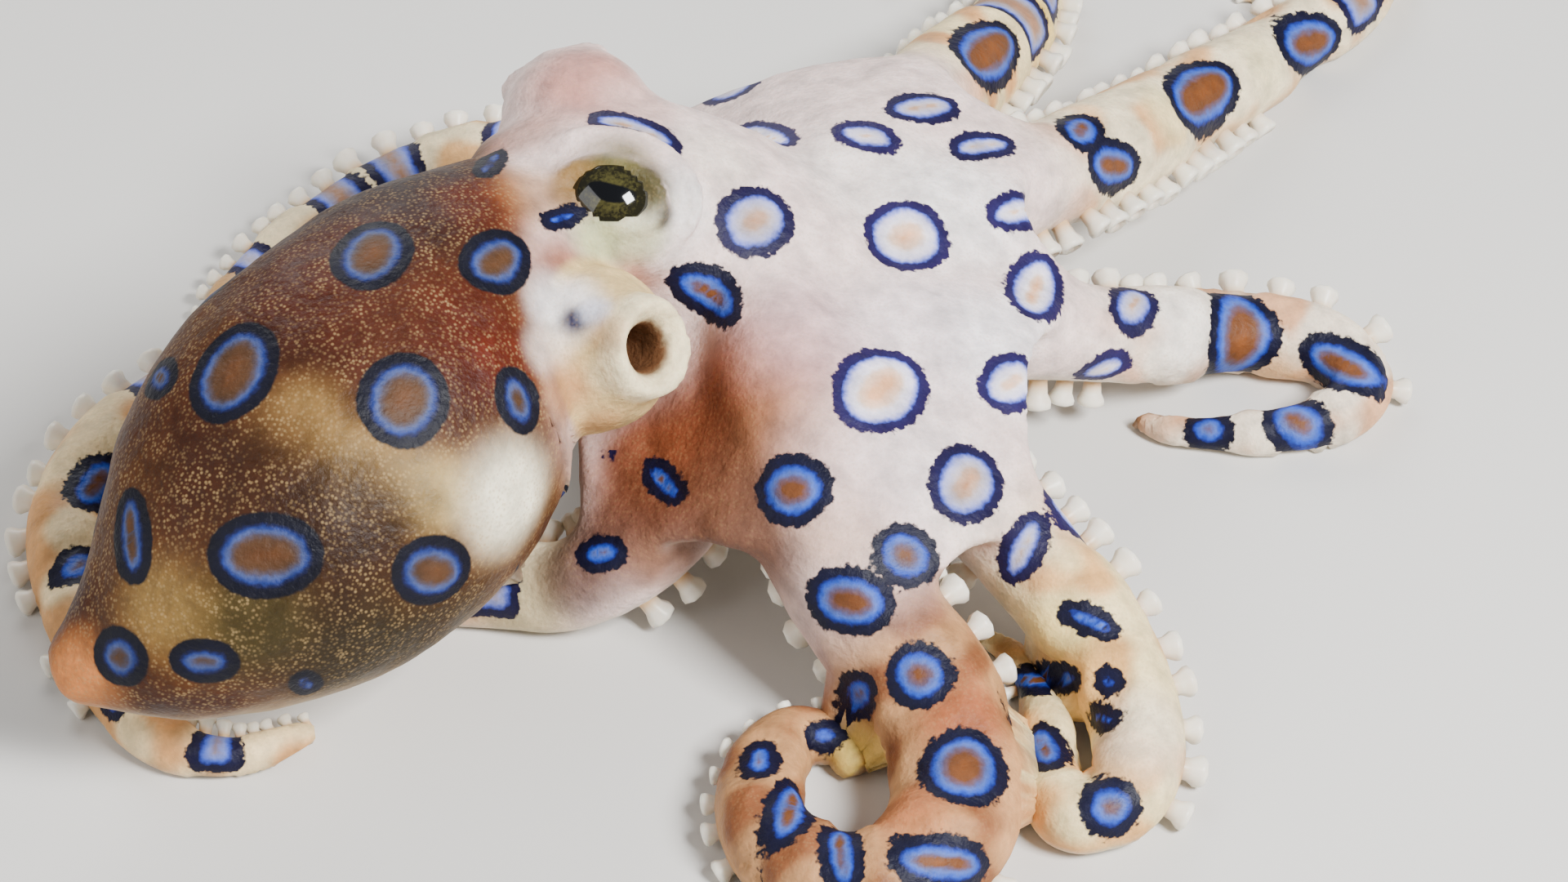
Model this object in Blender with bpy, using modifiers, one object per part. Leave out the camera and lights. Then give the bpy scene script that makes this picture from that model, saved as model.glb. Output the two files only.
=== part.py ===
"""Greater blue-ringed octopus, life size, crawling with its arms curled on the floor.

Everything below is in millimetres; the last lines of build() scale the finished meshes to
metres and move the middle of the footprint to the origin. +Z is up and the floor is z = 0.
The crown of arms opens towards +X, the animal's right side faces -Y, and the mantle is
carried back and to that side. The soft body is fused from its main masses, smoothed and
parted with thin cuts, and each arm goes on from there in a few lengths with two rows of
suckers.
"""

import math
import random
from dataclasses import dataclass

import bmesh
import bpy
from mathutils import Matrix, Vector

# Driving dimensions, in millimetres
GAP = 0.3
FLOOR_CENTRE = Vector((-1.59, 13.41, 0.0))

MANTLE_HALF_WIDTH = 13.2
MANTLE_HALF_HEIGHT = 11.2
MANTLE_ROLL = math.radians(18)

EYE_BUMP_RADIUS = 5.6
EYE_BALL_RADIUS = 3.7
EYE_BALL_OUT = 2.1
LID_RADIUS = 0.8
LID_SECTIONS = 24
LID_POINTS = 8
LID_OVERLAP = 0.6

FUNNEL_LENGTH = 10.4
FUNNEL_BASE_RADIUS = 5.4
FUNNEL_TIP_RADIUS = 3.3
FUNNEL_BORE_RADIUS = 1.5
FUNNEL_DEPTH = 5.5
FUNNEL_CLEARANCE = 3.0

MOUTH_RADIUS = 3.0
MOUTH_LOW = 6.2
MOUTH_TOP = 11.5
BEAK_DEPTH = 2.5

HUB_RADIUS = 7.0
HUB_STRETCH = (1.1, 1.1, 0.7)
WEB_BULGE = 0.10
WEB_EDGE = 1.5
WEB_ROOT = 2.8
WEB_LEVEL = 0.93
WEB_HOLLOW = 0.8
WEB_ACROSS = 10
WEB_OUT = 12
WEB_CUT = (44.0, GAP, 60.0)
WEB_CUT_HEIGHT = 10.0
ROOT_END_TRIM = (15.0, 15.0, 6.0)

SUCKER_SIDES = 5
SUCKER_HEIGHT = 0.98
SUCKER_STALK = 0.34
SUCKER_ROOT = 0.7
SUCKER_CUP = 0.3
SUCKER_WIDTH = 2.1
SIDE_SPLAY = math.radians(75)
FAR_LIFT = math.radians(37)
NEAR_DROP = math.radians(20)
UNDER_SPLAY = math.radians(20)
SUCKER_SWAY = 0.06
SUCKER_SINK = 0.93
ROOT_SPLAY = math.radians(30)
FIRST_SUCKER = 7.5
SUCKER_CROWDING = 1.15
ROOT_SHARE = 0.55
ROOT_GROWTH = 1.6
TIP_SHARE = 0.42
TIP_GROWTH = 1.7
OWN_REACH = 8.0
ARM_TIP_RADIUS = 0.5
ARM_TAPER = 0.62
ARM_SIDES = 8
ARM_STEP = 3.2
RESTING = 0.86
ROOT_OVERLAP = 3.0
ROOT_STEP = 1.6
ROOT_SIDES = 12

MANTLE_SIDES = 24
HEAD_SIDES = 20
STATION_PARTS = 3
TURNED_SIDES = 16
CUT_SIDES = 32

SKIN_VOXEL = 0.65
SKIN_SMOOTHING = 9
TRUNK_TRIANGLES = 2480
WELDS = (0.01, 0.003, 0.001)
FLOOR_BLOCK = (200.0, 200.0, 20.0)
TOUCHING = 0.02

NECK_CUT_RADIUS = 15.0
COLLAR_CUT_RADIUS = 17.5

# Places on the body, in millimetres
HUB = Vector((-1.0, 5.5, 12.0))
NECK = Vector((-16.6, 1.0, 19.5))
NECK_AIM = Vector((-0.95, -0.2, -0.12))
COLLAR = Vector((-8.0, 8.0, 15.0))
COLLAR_AIM = Vector((-0.5, 0.02, 0.87))
RIGHT_EYE = Vector((-11.2, 5.2, 21.5))
RIGHT_EYE_AIM = Vector((0.0, -0.60, 0.80))
LEFT_EYE = Vector((-13.8, 14.4, 21.2))
LEFT_EYE_AIM = Vector((-0.36, 0.86, 0.34))
FUNNEL_BASE = Vector((-15.2, -3.6, 17.2))
FUNNEL_AIM = Vector((0.69, -0.535, 0.482))


@dataclass
class Station:
    """One oval section of a tapered body: its middle, half width and half height."""

    x: float
    y: float
    z: float
    half_width: float
    half_height: float


MANTLE_STATIONS = (
    Station(-15.5, 5.5, 19.5, 6.5, 6.2),
    Station(-18.5, 1.6, 19.2, 8.6, 8.3),
    Station(-22.6, -3.8, 18.6, 11.0, 10.3),
    Station(-26.5, -11.0, 17.2, MANTLE_HALF_WIDTH, MANTLE_HALF_HEIGHT),
    Station(-31.0, -16.6, 15.3, 12.6, 10.8),
    Station(-35.2, -20.6, 13.4, 10.4, 9.0),
    Station(-39.2, -23.4, 11.6, 7.2, 6.4),
    Station(-42.8, -25.0, 10.4, 4.0, 3.6),
    Station(-45.6, -26.0, 9.8, 1.8, 1.8),
)

HEAD_STATIONS = (
    Station(-17.0, 4.5, 19.6, 7.0, 6.6),
    Station(-12.6, 9.0, 18.8, 8.2, 7.4),
    Station(-8.0, 9.6, 17.4, 8.6, 7.2),
    Station(-2.0, 8.6, 15.0, 8.6, 6.6),
    Station(4.0, 7.4, 12.8, 7.0, 5.4),
    Station(8.0, 6.8, 11.4, 3.5, 3.0),
)


@dataclass
class Arm:
    """One arm: its route, thickness, web, cuts and suckers, and the row that is rolled under it."""

    name: str
    route: tuple
    root_radius: float
    web_end: float
    web_dip: float
    cuts: tuple
    suckers: int
    taper: float = ARM_TAPER
    under_row: int | None = None


ARMS = (
    Arm("r1", ((0, 6.5, 13.5), (9, 6.5, 12), (17, 8.2, 9), (25, 11.8, 5.2), (32, 14.6, 3),
               (37.6, 13.8, 2.5), (40, 10.2, 2), (37, 6.8, 1.6), (31.2, 6, 1.3),
               (26.6, 6.8, 0.9), (24.2, 8.6, 0.4)), 4.7, 22.0, 5.0, (33.0, 43.0, 51.0), 20, 0.8, 1),
    Arm("r2", ((0.5, 4.5, 13.5), (6.5, -2.2, 12.5), (11.8, -8.2, 9.8), (15.8, -12.2, 7.2),
               (19.3, -16.2, 5.2), (21.7, -20.8, 3.4), (22.5, -26, 2.5), (20.8, -30.1, 2.3),
               (18, -30.4, 2), (16.9, -26.8, 1.7), (16.9, -22.6, 1.4), (16.3, -18.6, 1),
               (15, -15.2, 0.7), (12.6, -12.8, 0.4)),
        4.9, 24.5, 2.0, (34.0, 46.0), 17, 0.85, 1),
    Arm("r3", ((-1, 2, 14), (0.5, -6, 14), (2.6, -13.4, 11), (5.2, -17.8, 7.8), (8.5, -21.8, 5.4),
               (10.7, -26.6, 3.4), (10.4, -32.6, 2.8), (7.2, -36.8, 2.5), (2.6, -36.6, 2.2),
               (-0.7, -32.8, 2), (-1.4, -27.8, 1.6), (0.4, -23.9, 1.2), (3.4, -23.7, 0.8),
               (5, -26.2, 0.5)), 5.4, 26.0, 2.5, (35.0, 44.0, 53.0), 22, 0.52, 1),
    Arm("r4", ((-4, 2, 12.5), (-5, -4, 10.8), (-7.6, -9, 7.6), (-11.6, -11.2, 4.8),
               (-16, -10.6, 2.4), (-23, -9.4, 1.7), (-30, -7.6, 1.1), (-35, -3.2, 0.4)),
        4.4, 19.0, 3.0, (31.0,), 15, ARM_TAPER, 0),
    Arm("l4", ((-5, 9, 12), (-10, 14, 8.6), (-16, 17.5, 5.4), (-24, 17, 2.9), (-33, 12, 2.6),
               (-40.5, 8.2, 2.3), (-45.6, 3, 2.1), (-47.8, -3.6, 1.8), (-46.8, -10.6, 1.6),
               (-43.8, -17.8, 1.3), (-40, -23.3, 1), (-35, -24.6, 0.8), (-30, -21.8, 0.4)),
        4.4, 17.0, 3.0, (32.0, 46.0, 60.0, 72.0), 25),
    Arm("l3", ((-3, 12, 12.5), (-6, 20, 11), (-10, 27.5, 7.6), (-17.5, 33, 4.4),
               (-26.5, 33.2, 1.9), (-34, 27.6, 1.4), (-39.4, 21, 0.9), (-41, 15.4, 0.4)),
        4.3, 19.0, 4.0, (31.0, 43.0), 16),
    Arm("l2", ((0, 11, 14), (3.6, 18, 14.4), (7.6, 26, 12.8), (10.8, 33.2, 9.8), (14.4, 41.8, 6.6),
               (17.8, 50.8, 4), (18.6, 60.2, 1.6), (14.8, 65.2, 1.3), (9.4, 64.2, 0.9), (7.2, 59.2, 0.4)),
        4.9, 25.0, 5.0, (36.0, 47.0, 57.0), 20),
    Arm("l1", ((1, 9, 14), (8, 13.5, 13.6), (15.5, 20.8, 11), (22.5, 29, 7.6), (30, 39.4, 4.2),
               (37.6, 48.4, 2), (43.8, 55, 1.6), (45.8, 61.2, 1.3), (42, 64.9, 1),
               (37.4, 61.6, 0.7), (36.8, 56.9, 0.4)), 4.6, 25.0, 6.0, (37.0, 48.0, 58.0, 68.0), 23),
)

LENGTH_NAMES = ("upper", "middle", "lower", "curl", "tip")

SKIN_TAN = (0.48, 0.33, 0.19, 1.0)
SKIN_PALE = (0.78, 0.66, 0.58, 1.0)
FUNNEL_CREAM = (0.74, 0.62, 0.45, 1.0)
EYE_GREEN = (0.16, 0.17, 0.07, 1.0)


def material(name, colour, roughness):
    """A plain material in the animal's own colour."""
    made = bpy.data.materials.new(name)
    made.use_nodes = True
    shader = made.node_tree.nodes["Principled BSDF"]
    shader.inputs["Base Color"].default_value = colour
    shader.inputs["Roughness"].default_value = roughness
    shader.inputs["Metallic"].default_value = 0.0
    return made


def new_object(name, mesh_data, collection):
    """A mesh object in a collection."""
    made = bpy.data.objects.new(name, mesh_data)
    collection.objects.link(made)
    return made


def from_bmesh(name, shape, collection):
    """An object made from a bmesh, which is freed."""
    bmesh.ops.recalc_face_normals(shape, faces=shape.faces)
    mesh_data = bpy.data.meshes.new(name)
    shape.to_mesh(mesh_data)
    shape.free()
    return new_object(name, mesh_data, collection)


def weld(made):
    """Corners that a cut leaves almost together are joined, as far as the skin stays closed."""
    for reach in WELDS:
        shape = bmesh.new()
        shape.from_mesh(made.data)
        bmesh.ops.remove_doubles(shape, verts=shape.verts, dist=reach)
        bmesh.ops.dissolve_degenerate(shape, edges=shape.edges, dist=reach)
        bmesh.ops.triangulate(shape, faces=shape.faces)
        closed = all(len(edge.link_faces) == 2 for edge in shape.edges)
        if closed or reach == WELDS[-1]:
            shape.to_mesh(made.data)
        shape.free()
        if closed:
            return


def apply_modifiers(made):
    """The object's mesh becomes what its modifiers make of it."""
    graph = bpy.context.evaluated_depsgraph_get()
    flat = bpy.data.meshes.new_from_object(made.evaluated_get(graph))
    made.modifiers.clear()
    old = made.data
    made.data = flat
    bpy.data.meshes.remove(old)


def discard(objects):
    """Helpers that have done their work are removed."""
    for helper in list(objects):
        bpy.data.objects.remove(helper, do_unlink=True)


def boolean(target, other, operation):
    """One Boolean with an object or a whole collection, applied at once."""
    cut = target.modifiers.new("cut", "BOOLEAN")
    cut.operation = operation
    cut.solver = "EXACT"
    if isinstance(other, bpy.types.Collection):
        cut.operand_type = "COLLECTION"
        cut.collection = other
    else:
        cut.object = other
    apply_modifiers(target)
    weld(target)


def cubic(a, b, c, d, t):
    """The Catmull-Rom value between b and c at a share t."""
    return 0.5 * (2 * b + (c - a) * t + (2 * a - 5 * b + 4 * c - d) * t * t
                  + (3 * b - 3 * c + d - a) * t * t * t)


def spaced(fine, step):
    """The same line with evenly spaced points, about step apart."""
    along = [0.0]
    for a, b in zip(fine, fine[1:]):
        along.append(along[-1] + (b - a).length)
    count = max(2, round(along[-1] / step))
    even = []
    piece = 0
    for index in range(count + 1):
        want = along[-1] * index / count
        while piece < len(fine) - 2 and along[piece + 1] < want:
            piece += 1
        share = (want - along[piece]) / (along[piece + 1] - along[piece])
        even.append(fine[piece].lerp(fine[piece + 1], min(1.0, max(0.0, share))))
    return even


class Line:
    """A smooth line through a few points, read by the distance along it."""

    FINE = 0.25
    PARTS = 20
    LOOK = 0.6

    def __init__(self, points):
        knots = [Vector(point) for point in points]
        knots = [2 * knots[0] - knots[1]] + knots + [2 * knots[-1] - knots[-2]]
        fine = []
        for a, b, c, d in zip(knots, knots[1:], knots[2:], knots[3:]):
            fine += [cubic(a, b, c, d, part / self.PARTS) for part in range(self.PARTS)]
        fine.append(knots[-2])
        self.points = spaced(fine, self.FINE)
        self.length = sum((b - a).length for a, b in zip(self.points, self.points[1:]))
        self.step = self.length / (len(self.points) - 1)

    def at(self, distance):
        """The point at a distance along the line."""
        place = min(max(distance / self.step, 0.0), len(self.points) - 1.0)
        index = min(int(place), len(self.points) - 2)
        return self.points[index].lerp(self.points[index + 1], place - index)

    def frame(self, distance):
        """The line's direction, its side, and its back, which is as near +Z as it can be."""
        ahead = (self.at(distance + self.LOOK) - self.at(distance - self.LOOK)).normalized()
        side = ahead.cross(Vector((0, 0, 1))).normalized()
        return ahead, side, side.cross(ahead).normalized()


class ArmLine(Line):
    """An arm's middle line with its thickness, laid no lower than that thickness lets it."""

    def __init__(self, arm):
        super().__init__(arm.route)
        self.root_radius = arm.root_radius
        self.taper = arm.taper
        for index, point in enumerate(self.points):
            point.z = max(point.z, RESTING * self.radius(index * self.step))

    def radius(self, distance):
        """Half the arm's thickness: it tapers slowly, then to a fine tip."""
        share = min(1.0, max(0.0, distance / self.length))
        return ARM_TIP_RADIUS + (self.root_radius - ARM_TIP_RADIUS) * (1 - share) ** self.taper


LINES = {arm.name: ArmLine(arm) for arm in ARMS}


def loft(name, rings, collection):
    """A closed skin through rings of points, capped at both ends."""
    shape = bmesh.new()
    loops = [[shape.verts.new(point) for point in ring] for ring in rings]
    for ring, following in zip(loops, loops[1:]):
        for index in range(len(ring)):
            after = (index + 1) % len(ring)
            shape.faces.new((ring[index], ring[after], following[after], following[index]))
    shape.faces.new(loops[0])
    shape.faces.new(loops[-1])
    return from_bmesh(name, shape, collection)


def oval(middle, side, back, half_width, half_height, sides):
    """A ring of points round an oval."""
    ring = []
    for index in range(sides):
        turn = 2 * math.pi * (index + 0.5) / sides
        ring.append(middle + side * half_width * math.cos(turn) + back * half_height * math.sin(turn))
    return ring


def body_loft(name, stations, roll, sides, collection):
    """A tapered body through its stations, rolled to its right, smooth between them."""
    line = Line([(s.x, s.y, s.z) for s in stations])
    last = STATION_PARTS * (len(stations) - 1)
    rings = []
    for index in range(last + 1):
        number = min(index // STATION_PARTS, len(stations) - 2)
        share = index / STATION_PARTS - number
        near = [stations[min(max(number + k, 0), len(stations) - 1)] for k in (-1, 0, 1, 2)]
        middle = Vector([cubic(*(getattr(s, axis) for s in near), share) for axis in "xyz"])
        width = cubic(*(s.half_width for s in near), share)
        height = cubic(*(s.half_height for s in near), share)
        gaps = [(spot - middle).length for spot in line.points]
        _, side, back = line.frame(gaps.index(min(gaps)) * line.step)
        left = side * math.cos(roll) + back * math.sin(roll)
        over = back * math.cos(roll) - side * math.sin(roll)
        rings.append(oval(middle, left, over, width, height, sides))
    return loft(name, rings, collection)


def ball(name, centre, radius, collection, stretch=(1, 1, 1), detail=3):
    """A closed ball, or an egg when it is stretched."""
    shape = bmesh.new()
    bmesh.ops.create_icosphere(shape, subdivisions=detail, radius=radius)
    bmesh.ops.scale(shape, vec=Vector(stretch), verts=shape.verts)
    bmesh.ops.translate(shape, vec=centre, verts=shape.verts)
    return from_bmesh(name, shape, collection)


def turned(name, profile, centre, aim, sides, collection):
    """A profile of (radius, height) points spun about an axis through a centre."""
    turn = aim.normalized().to_track_quat("Z", "Y").to_matrix().to_4x4()
    place = Matrix.Translation(centre) @ turn
    shape = bmesh.new()
    loops = []
    for radius, height in profile:
        if radius == 0:
            loops.append([shape.verts.new(place @ Vector((0, 0, height)))])
            continue
        ring = [2 * math.pi * index / sides for index in range(sides)]
        loops.append([shape.verts.new(place @ Vector((radius * math.cos(a), radius * math.sin(a), height)))
                      for a in ring])
    for ring, following in zip(loops, loops[1:]):
        for index in range(sides):
            corners = [ring[index % len(ring)], ring[(index + 1) % len(ring)],
                       following[(index + 1) % len(following)], following[index % len(following)]]
            shape.faces.new(list(dict.fromkeys(corners)))
    return from_bmesh(name, shape, collection)


def box(name, centre, aim, size, collection):
    """A closed block, its own Z along the aim."""
    shape = bmesh.new()
    bmesh.ops.create_cube(shape, size=1.0)
    bmesh.ops.scale(shape, vec=Vector(size), verts=shape.verts)
    turn = aim.normalized().to_track_quat("Z", "Y").to_matrix().to_4x4()
    bmesh.ops.transform(shape, matrix=Matrix.Translation(centre) @ turn, verts=shape.verts)
    return from_bmesh(name, shape, collection)


def disc(name, centre, aim, radius, collection):
    """A thin round plate for a parting cut."""
    profile = [(0, -GAP / 2), (radius, -GAP / 2), (radius, GAP / 2), (0, GAP / 2)]
    return turned(name, profile, centre, aim, CUT_SIDES, collection)


def lid_ring(name, eye, aim, collection):
    """The fold of skin round an eye, a closed ring standing on its bump."""
    out, ball_radius = EYE_BALL_OUT, EYE_BALL_RADIUS + GAP
    height = (out ** 2 + EYE_BUMP_RADIUS ** 2 - ball_radius ** 2) / (2 * out)
    opening = math.sqrt(EYE_BUMP_RADIUS ** 2 - height ** 2)
    profile = []
    for index in range(LID_POINTS):
        turn = 2 * math.pi * index / LID_POINTS
        profile.append((opening + LID_RADIUS * (LID_OVERLAP + math.cos(turn)),
                        height + LID_RADIUS * math.sin(turn)))
    return closed_ring(name, profile, eye, aim, LID_SECTIONS, collection)


def closed_ring(name, profile, centre, aim, sides, collection):
    """A ring turned from a closed profile that stays clear of its axis."""
    turn = aim.normalized().to_track_quat("Z", "Y").to_matrix().to_4x4()
    place = Matrix.Translation(centre) @ turn
    shape = bmesh.new()
    loops = []
    for step in range(sides):
        angle = 2 * math.pi * step / sides
        loops.append([shape.verts.new(place @ Vector((r * math.cos(angle), r * math.sin(angle), h)))
                      for r, h in profile])
    for step in range(sides):
        ring, following = loops[step], loops[(step + 1) % sides]
        for index in range(len(ring)):
            after = (index + 1) % len(ring)
            shape.faces.new((ring[index], ring[after], following[after], following[index]))
    return from_bmesh(name, shape, collection)


def web_sheet(arm, neighbour, collection):
    """The web between two neighbouring arms, level with their backs, its free edge dipping in."""
    near, far = LINES[arm.name], LINES[neighbour.name]
    across, out = WEB_ACROSS, WEB_OUT
    tops, unders = [], []
    shape = bmesh.new()
    for i in range(across + 1):
        s = i / across
        dip = arm.web_dip * math.sin(math.pi * s) ** WEB_HOLLOW
        top, under = [], []
        for j in range(out + 1):
            t = j / out
            here, there = (arm.web_end - dip) * t, (neighbour.web_end - dip) * t
            a, b = near.at(here), far.at(there)
            back = near.frame(here)[2].lerp(far.frame(there)[2], s).normalized()
            radius = near.radius(here) + (far.radius(there) - near.radius(here)) * s
            bulge = WEB_BULGE * (a - b).length * math.sin(math.pi * s)
            upper = a.lerp(b, s) + back * (radius * WEB_LEVEL + bulge)
            top.append(shape.verts.new(upper))
            under.append(shape.verts.new(upper - back * (WEB_EDGE + (WEB_ROOT - WEB_EDGE) * (1 - t))))
        tops.append(top)
        unders.append(under)
    for i in range(across):
        for j in range(out):
            shape.faces.new((tops[i][j], tops[i + 1][j], tops[i + 1][j + 1], tops[i][j + 1]))
            shape.faces.new((unders[i][j], unders[i][j + 1], unders[i + 1][j + 1], unders[i + 1][j]))
        for j in (0, out):
            shape.faces.new((tops[i][j], tops[i + 1][j], unders[i + 1][j], unders[i][j]))
    for j in range(out):
        for i in (0, across):
            shape.faces.new((tops[i][j], tops[i][j + 1], unders[i][j + 1], unders[i][j]))
    return from_bmesh("web_" + arm.name, shape, collection)


def arm_tube(name, arm, start, end, step, sides, collection):
    """A stretch of an arm, with flat ends square to its line."""
    line = LINES[arm.name]
    count = max(2, round((end - start) / step))
    rings = []
    for index in range(count + 1):
        distance = start + (end - start) * index / count
        _, side, back = line.frame(distance)
        radius = line.radius(distance)
        rings.append(oval(line.at(distance), side, back, radius, radius, sides))
    return loft(name, rings, collection)


def sucker(name, foot, aim, width, collection):
    """One sucker: a short stalk that widens to a rim, with a cup in it."""
    shape = bmesh.new()
    tall = SUCKER_HEIGHT * width + SUCKER_ROOT
    bmesh.ops.create_cone(shape, cap_ends=True, cap_tris=True, segments=SUCKER_SIDES,
                          radius1=SUCKER_STALK * width, radius2=width / 2, depth=tall)
    for vert in shape.verts:
        if vert.co.xy.length < TOUCHING and vert.co.z > 0:
            vert.co.z -= SUCKER_CUP * width
    turn = aim.normalized().to_track_quat("Z", "Y").to_matrix().to_4x4()
    middle = foot + aim.normalized() * (tall / 2 - SUCKER_ROOT)
    bmesh.ops.transform(shape, matrix=Matrix.Translation(middle) @ turn, verts=shape.verts)
    return from_bmesh(name, shape, collection)


def sucker_width(line, distance):
    """Suckers grow smaller towards the mouth and towards the tip."""
    share = distance / line.length
    from_mouth = min(1.0, ROOT_SHARE + ROOT_GROWTH * share)
    from_tip = min(1.0, TIP_SHARE + TIP_GROWTH * (1 - share))
    return SUCKER_WIDTH * from_mouth * from_tip


def row_splay(outward, under, opened):
    """How far a row leans out of the arm's underside: least under the web, most on the far side."""
    swing = FAR_LIFT if outward.y > 0 else NEAR_DROP
    free = UNDER_SPLAY if under else SIDE_SPLAY + swing * outward.y
    return ROOT_SPLAY + (free - ROOT_SPLAY) * opened


def crowded(arm, distance, rim, width):
    """True where a sucker's rim would come too near to another stretch of an arm."""
    for other in ARMS:
        line = LINES[other.name]
        for along in range(math.ceil(line.length)):
            own = other.name == arm.name and abs(along - distance) < OWN_REACH
            if not own and (line.at(along) - rim).length < line.radius(along) + width:
                return True
    return False


def sucker_row(arm, start, end, collection, rng):
    """Both rows of suckers on a stretch of an arm, staggered and a little uneven."""
    line = LINES[arm.name]
    for row in (0, 1):
        for number in range(arm.suckers):
            share = (number + 0.25 + 0.5 * row) / arm.suckers
            distance = FIRST_SUCKER + (line.length - FIRST_SUCKER) * (1 - (1 - share) ** SUCKER_CROWDING)
            width = sucker_width(line, distance) * rng.uniform(0.94, 1.04)
            clear = width / 2 + GAP
            if distance < start + clear or distance > end - clear:
                continue
            opened = min(1.0, max(0.0, (distance - FIRST_SUCKER) / (arm.web_end - FIRST_SUCKER)))
            _, side, back = line.frame(distance)
            outward = side if row else -side
            splay = row_splay(outward, row == arm.under_row, opened) + rng.uniform(-SUCKER_SWAY, SUCKER_SWAY)
            aim = outward * math.sin(splay) - back * math.cos(splay)
            foot = line.at(distance) + aim * (line.radius(distance) * SUCKER_SINK)
            rim = foot + aim * (SUCKER_HEIGHT * width)
            if opened == 1 and crowded(arm, distance, rim, width):
                continue
            sucker(f"sucker_{arm.name}_{row}_{number}", foot, aim, width, collection)


def fused_trunk(helpers):
    """Mantle, head, eye bumps, webs and arm roots fused into one smooth skin."""
    masses = [body_loft("mantle_mass", MANTLE_STATIONS, MANTLE_ROLL, MANTLE_SIDES, helpers),
              body_loft("head_mass", HEAD_STATIONS, 0, HEAD_SIDES, helpers),
              ball("right_bump", RIGHT_EYE, EYE_BUMP_RADIUS, helpers),
              ball("left_bump", LEFT_EYE, EYE_BUMP_RADIUS, helpers),
              ball("hub_mass", HUB, HUB_RADIUS, helpers, HUB_STRETCH),
              lid_ring("right_lid", RIGHT_EYE, RIGHT_EYE_AIM, helpers),
              lid_ring("left_lid", LEFT_EYE, LEFT_EYE_AIM, helpers)]
    for arm, neighbour in zip(ARMS, ARMS[1:] + ARMS[:1]):
        masses.append(arm_tube("root_" + arm.name, arm, 0, arm.web_end + ROOT_OVERLAP, ROOT_STEP,
                               ROOT_SIDES, helpers))
        masses.append(web_sheet(arm, neighbour, helpers))
    shape = bmesh.new()
    for mass in masses:
        shape.from_mesh(mass.data)
    trunk_mesh = bpy.data.meshes.new("trunk")
    shape.to_mesh(trunk_mesh)
    shape.free()
    discard(masses)
    trunk = new_object("trunk", trunk_mesh, helpers)
    remesh = trunk.modifiers.new("fuse", "REMESH")
    remesh.mode = "VOXEL"
    remesh.voxel_size = SKIN_VOXEL
    smooth = trunk.modifiers.new("smooth", "SMOOTH")
    smooth.factor = 0.5
    smooth.iterations = SKIN_SMOOTHING
    apply_modifiers(trunk)
    thin = trunk.modifiers.new("thin", "DECIMATE")
    thin.ratio = TRUNK_TRIANGLES / sum(len(face.vertices) - 2 for face in trunk.data.polygons)
    thin.use_collapse_triangulate = True
    apply_modifiers(trunk)
    keep_largest(trunk)
    return trunk


def loose_groups(shape):
    """The face numbers of each closed surface, largest first; a shared corner doesn't join two."""
    shape.faces.ensure_lookup_table()
    shape.faces.index_update()
    seen = set()
    groups = []
    for start in shape.faces:
        if start.index in seen:
            continue
        group = {start.index}
        waiting = [start]
        while waiting:
            for edge in waiting.pop().edges:
                for face in edge.link_faces:
                    if face.index not in group:
                        group.add(face.index)
                        waiting.append(face)
        seen |= group
        groups.append(group)
    return sorted(groups, key=len, reverse=True)


def only(shape, group):
    """The faces outside a group are deleted, with the corners that they leave bare."""
    others = [face for face in shape.faces if face.index not in group]
    bmesh.ops.delete(shape, geom=others, context="FACES")


def split_off(target, count, collection):
    """The target's largest closed surfaces as objects of their own, and the target gone."""
    shape = bmesh.new()
    shape.from_mesh(target.data)
    pieces = []
    for group in loose_groups(shape)[:count]:
        own = shape.copy()
        only(own, group)
        pieces.append(from_bmesh("piece", own, collection))
    shape.free()
    discard([target])
    return pieces


def keep_largest(target):
    """Only the target's largest closed surface is kept."""
    shape = bmesh.new()
    shape.from_mesh(target.data)
    only(shape, loose_groups(shape)[0])
    shape.to_mesh(target.data)
    shape.free()


def middle_of(made):
    """The mean of an object's vertices."""
    total = Vector((0, 0, 0))
    for vert in made.data.vertices:
        total += vert.co
    return total / len(made.data.vertices)


def parted(target, cutter, towards, helpers):
    """The target cut in two by a thin plate; the piece further along towards comes first."""
    boolean(target, cutter, "DIFFERENCE")
    discard([cutter])
    pieces = split_off(target, 2, helpers)
    return sorted(pieces, key=lambda piece: -middle_of(piece).dot(towards))


def eye(name, centre, aim, collection):
    """An eyeball set in its bump."""
    shape = bmesh.new()
    bmesh.ops.create_uvsphere(shape, u_segments=14, v_segments=9, radius=EYE_BALL_RADIUS)
    turn = aim.normalized().to_track_quat("Z", "Y").to_matrix().to_4x4()
    place = centre + aim.normalized() * EYE_BALL_OUT
    bmesh.ops.transform(shape, matrix=Matrix.Translation(place) @ turn, verts=shape.verts)
    return from_bmesh(name, shape, collection)


def funnel_outside(extra):
    """The funnel's outer profile, larger all round by extra."""
    base, tip, long = FUNNEL_BASE_RADIUS + extra, FUNNEL_TIP_RADIUS + extra, FUNNEL_LENGTH
    return [(0, -extra), (0.75 * base, -extra), (base, 0.16 * long), (1.02 * base, 0.36 * long),
            (0.96 * base, 0.58 * long), (1.1 * tip, 0.78 * long), (tip, 0.95 * long)]


def funnel(collection):
    """The funnel, a stout tube with a rolled rim and an open bore."""
    tip, bore, long = FUNNEL_TIP_RADIUS, FUNNEL_BORE_RADIUS, FUNNEL_LENGTH
    profile = [*funnel_outside(0), (0.9 * tip, long), (0.74 * tip, 0.985 * long), (bore, 0.92 * long),
               (0.9 * bore, long - FUNNEL_DEPTH), (0, long - FUNNEL_DEPTH)]
    return turned("funnel", profile, FUNNEL_BASE, FUNNEL_AIM, TURNED_SIDES, collection)


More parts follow.
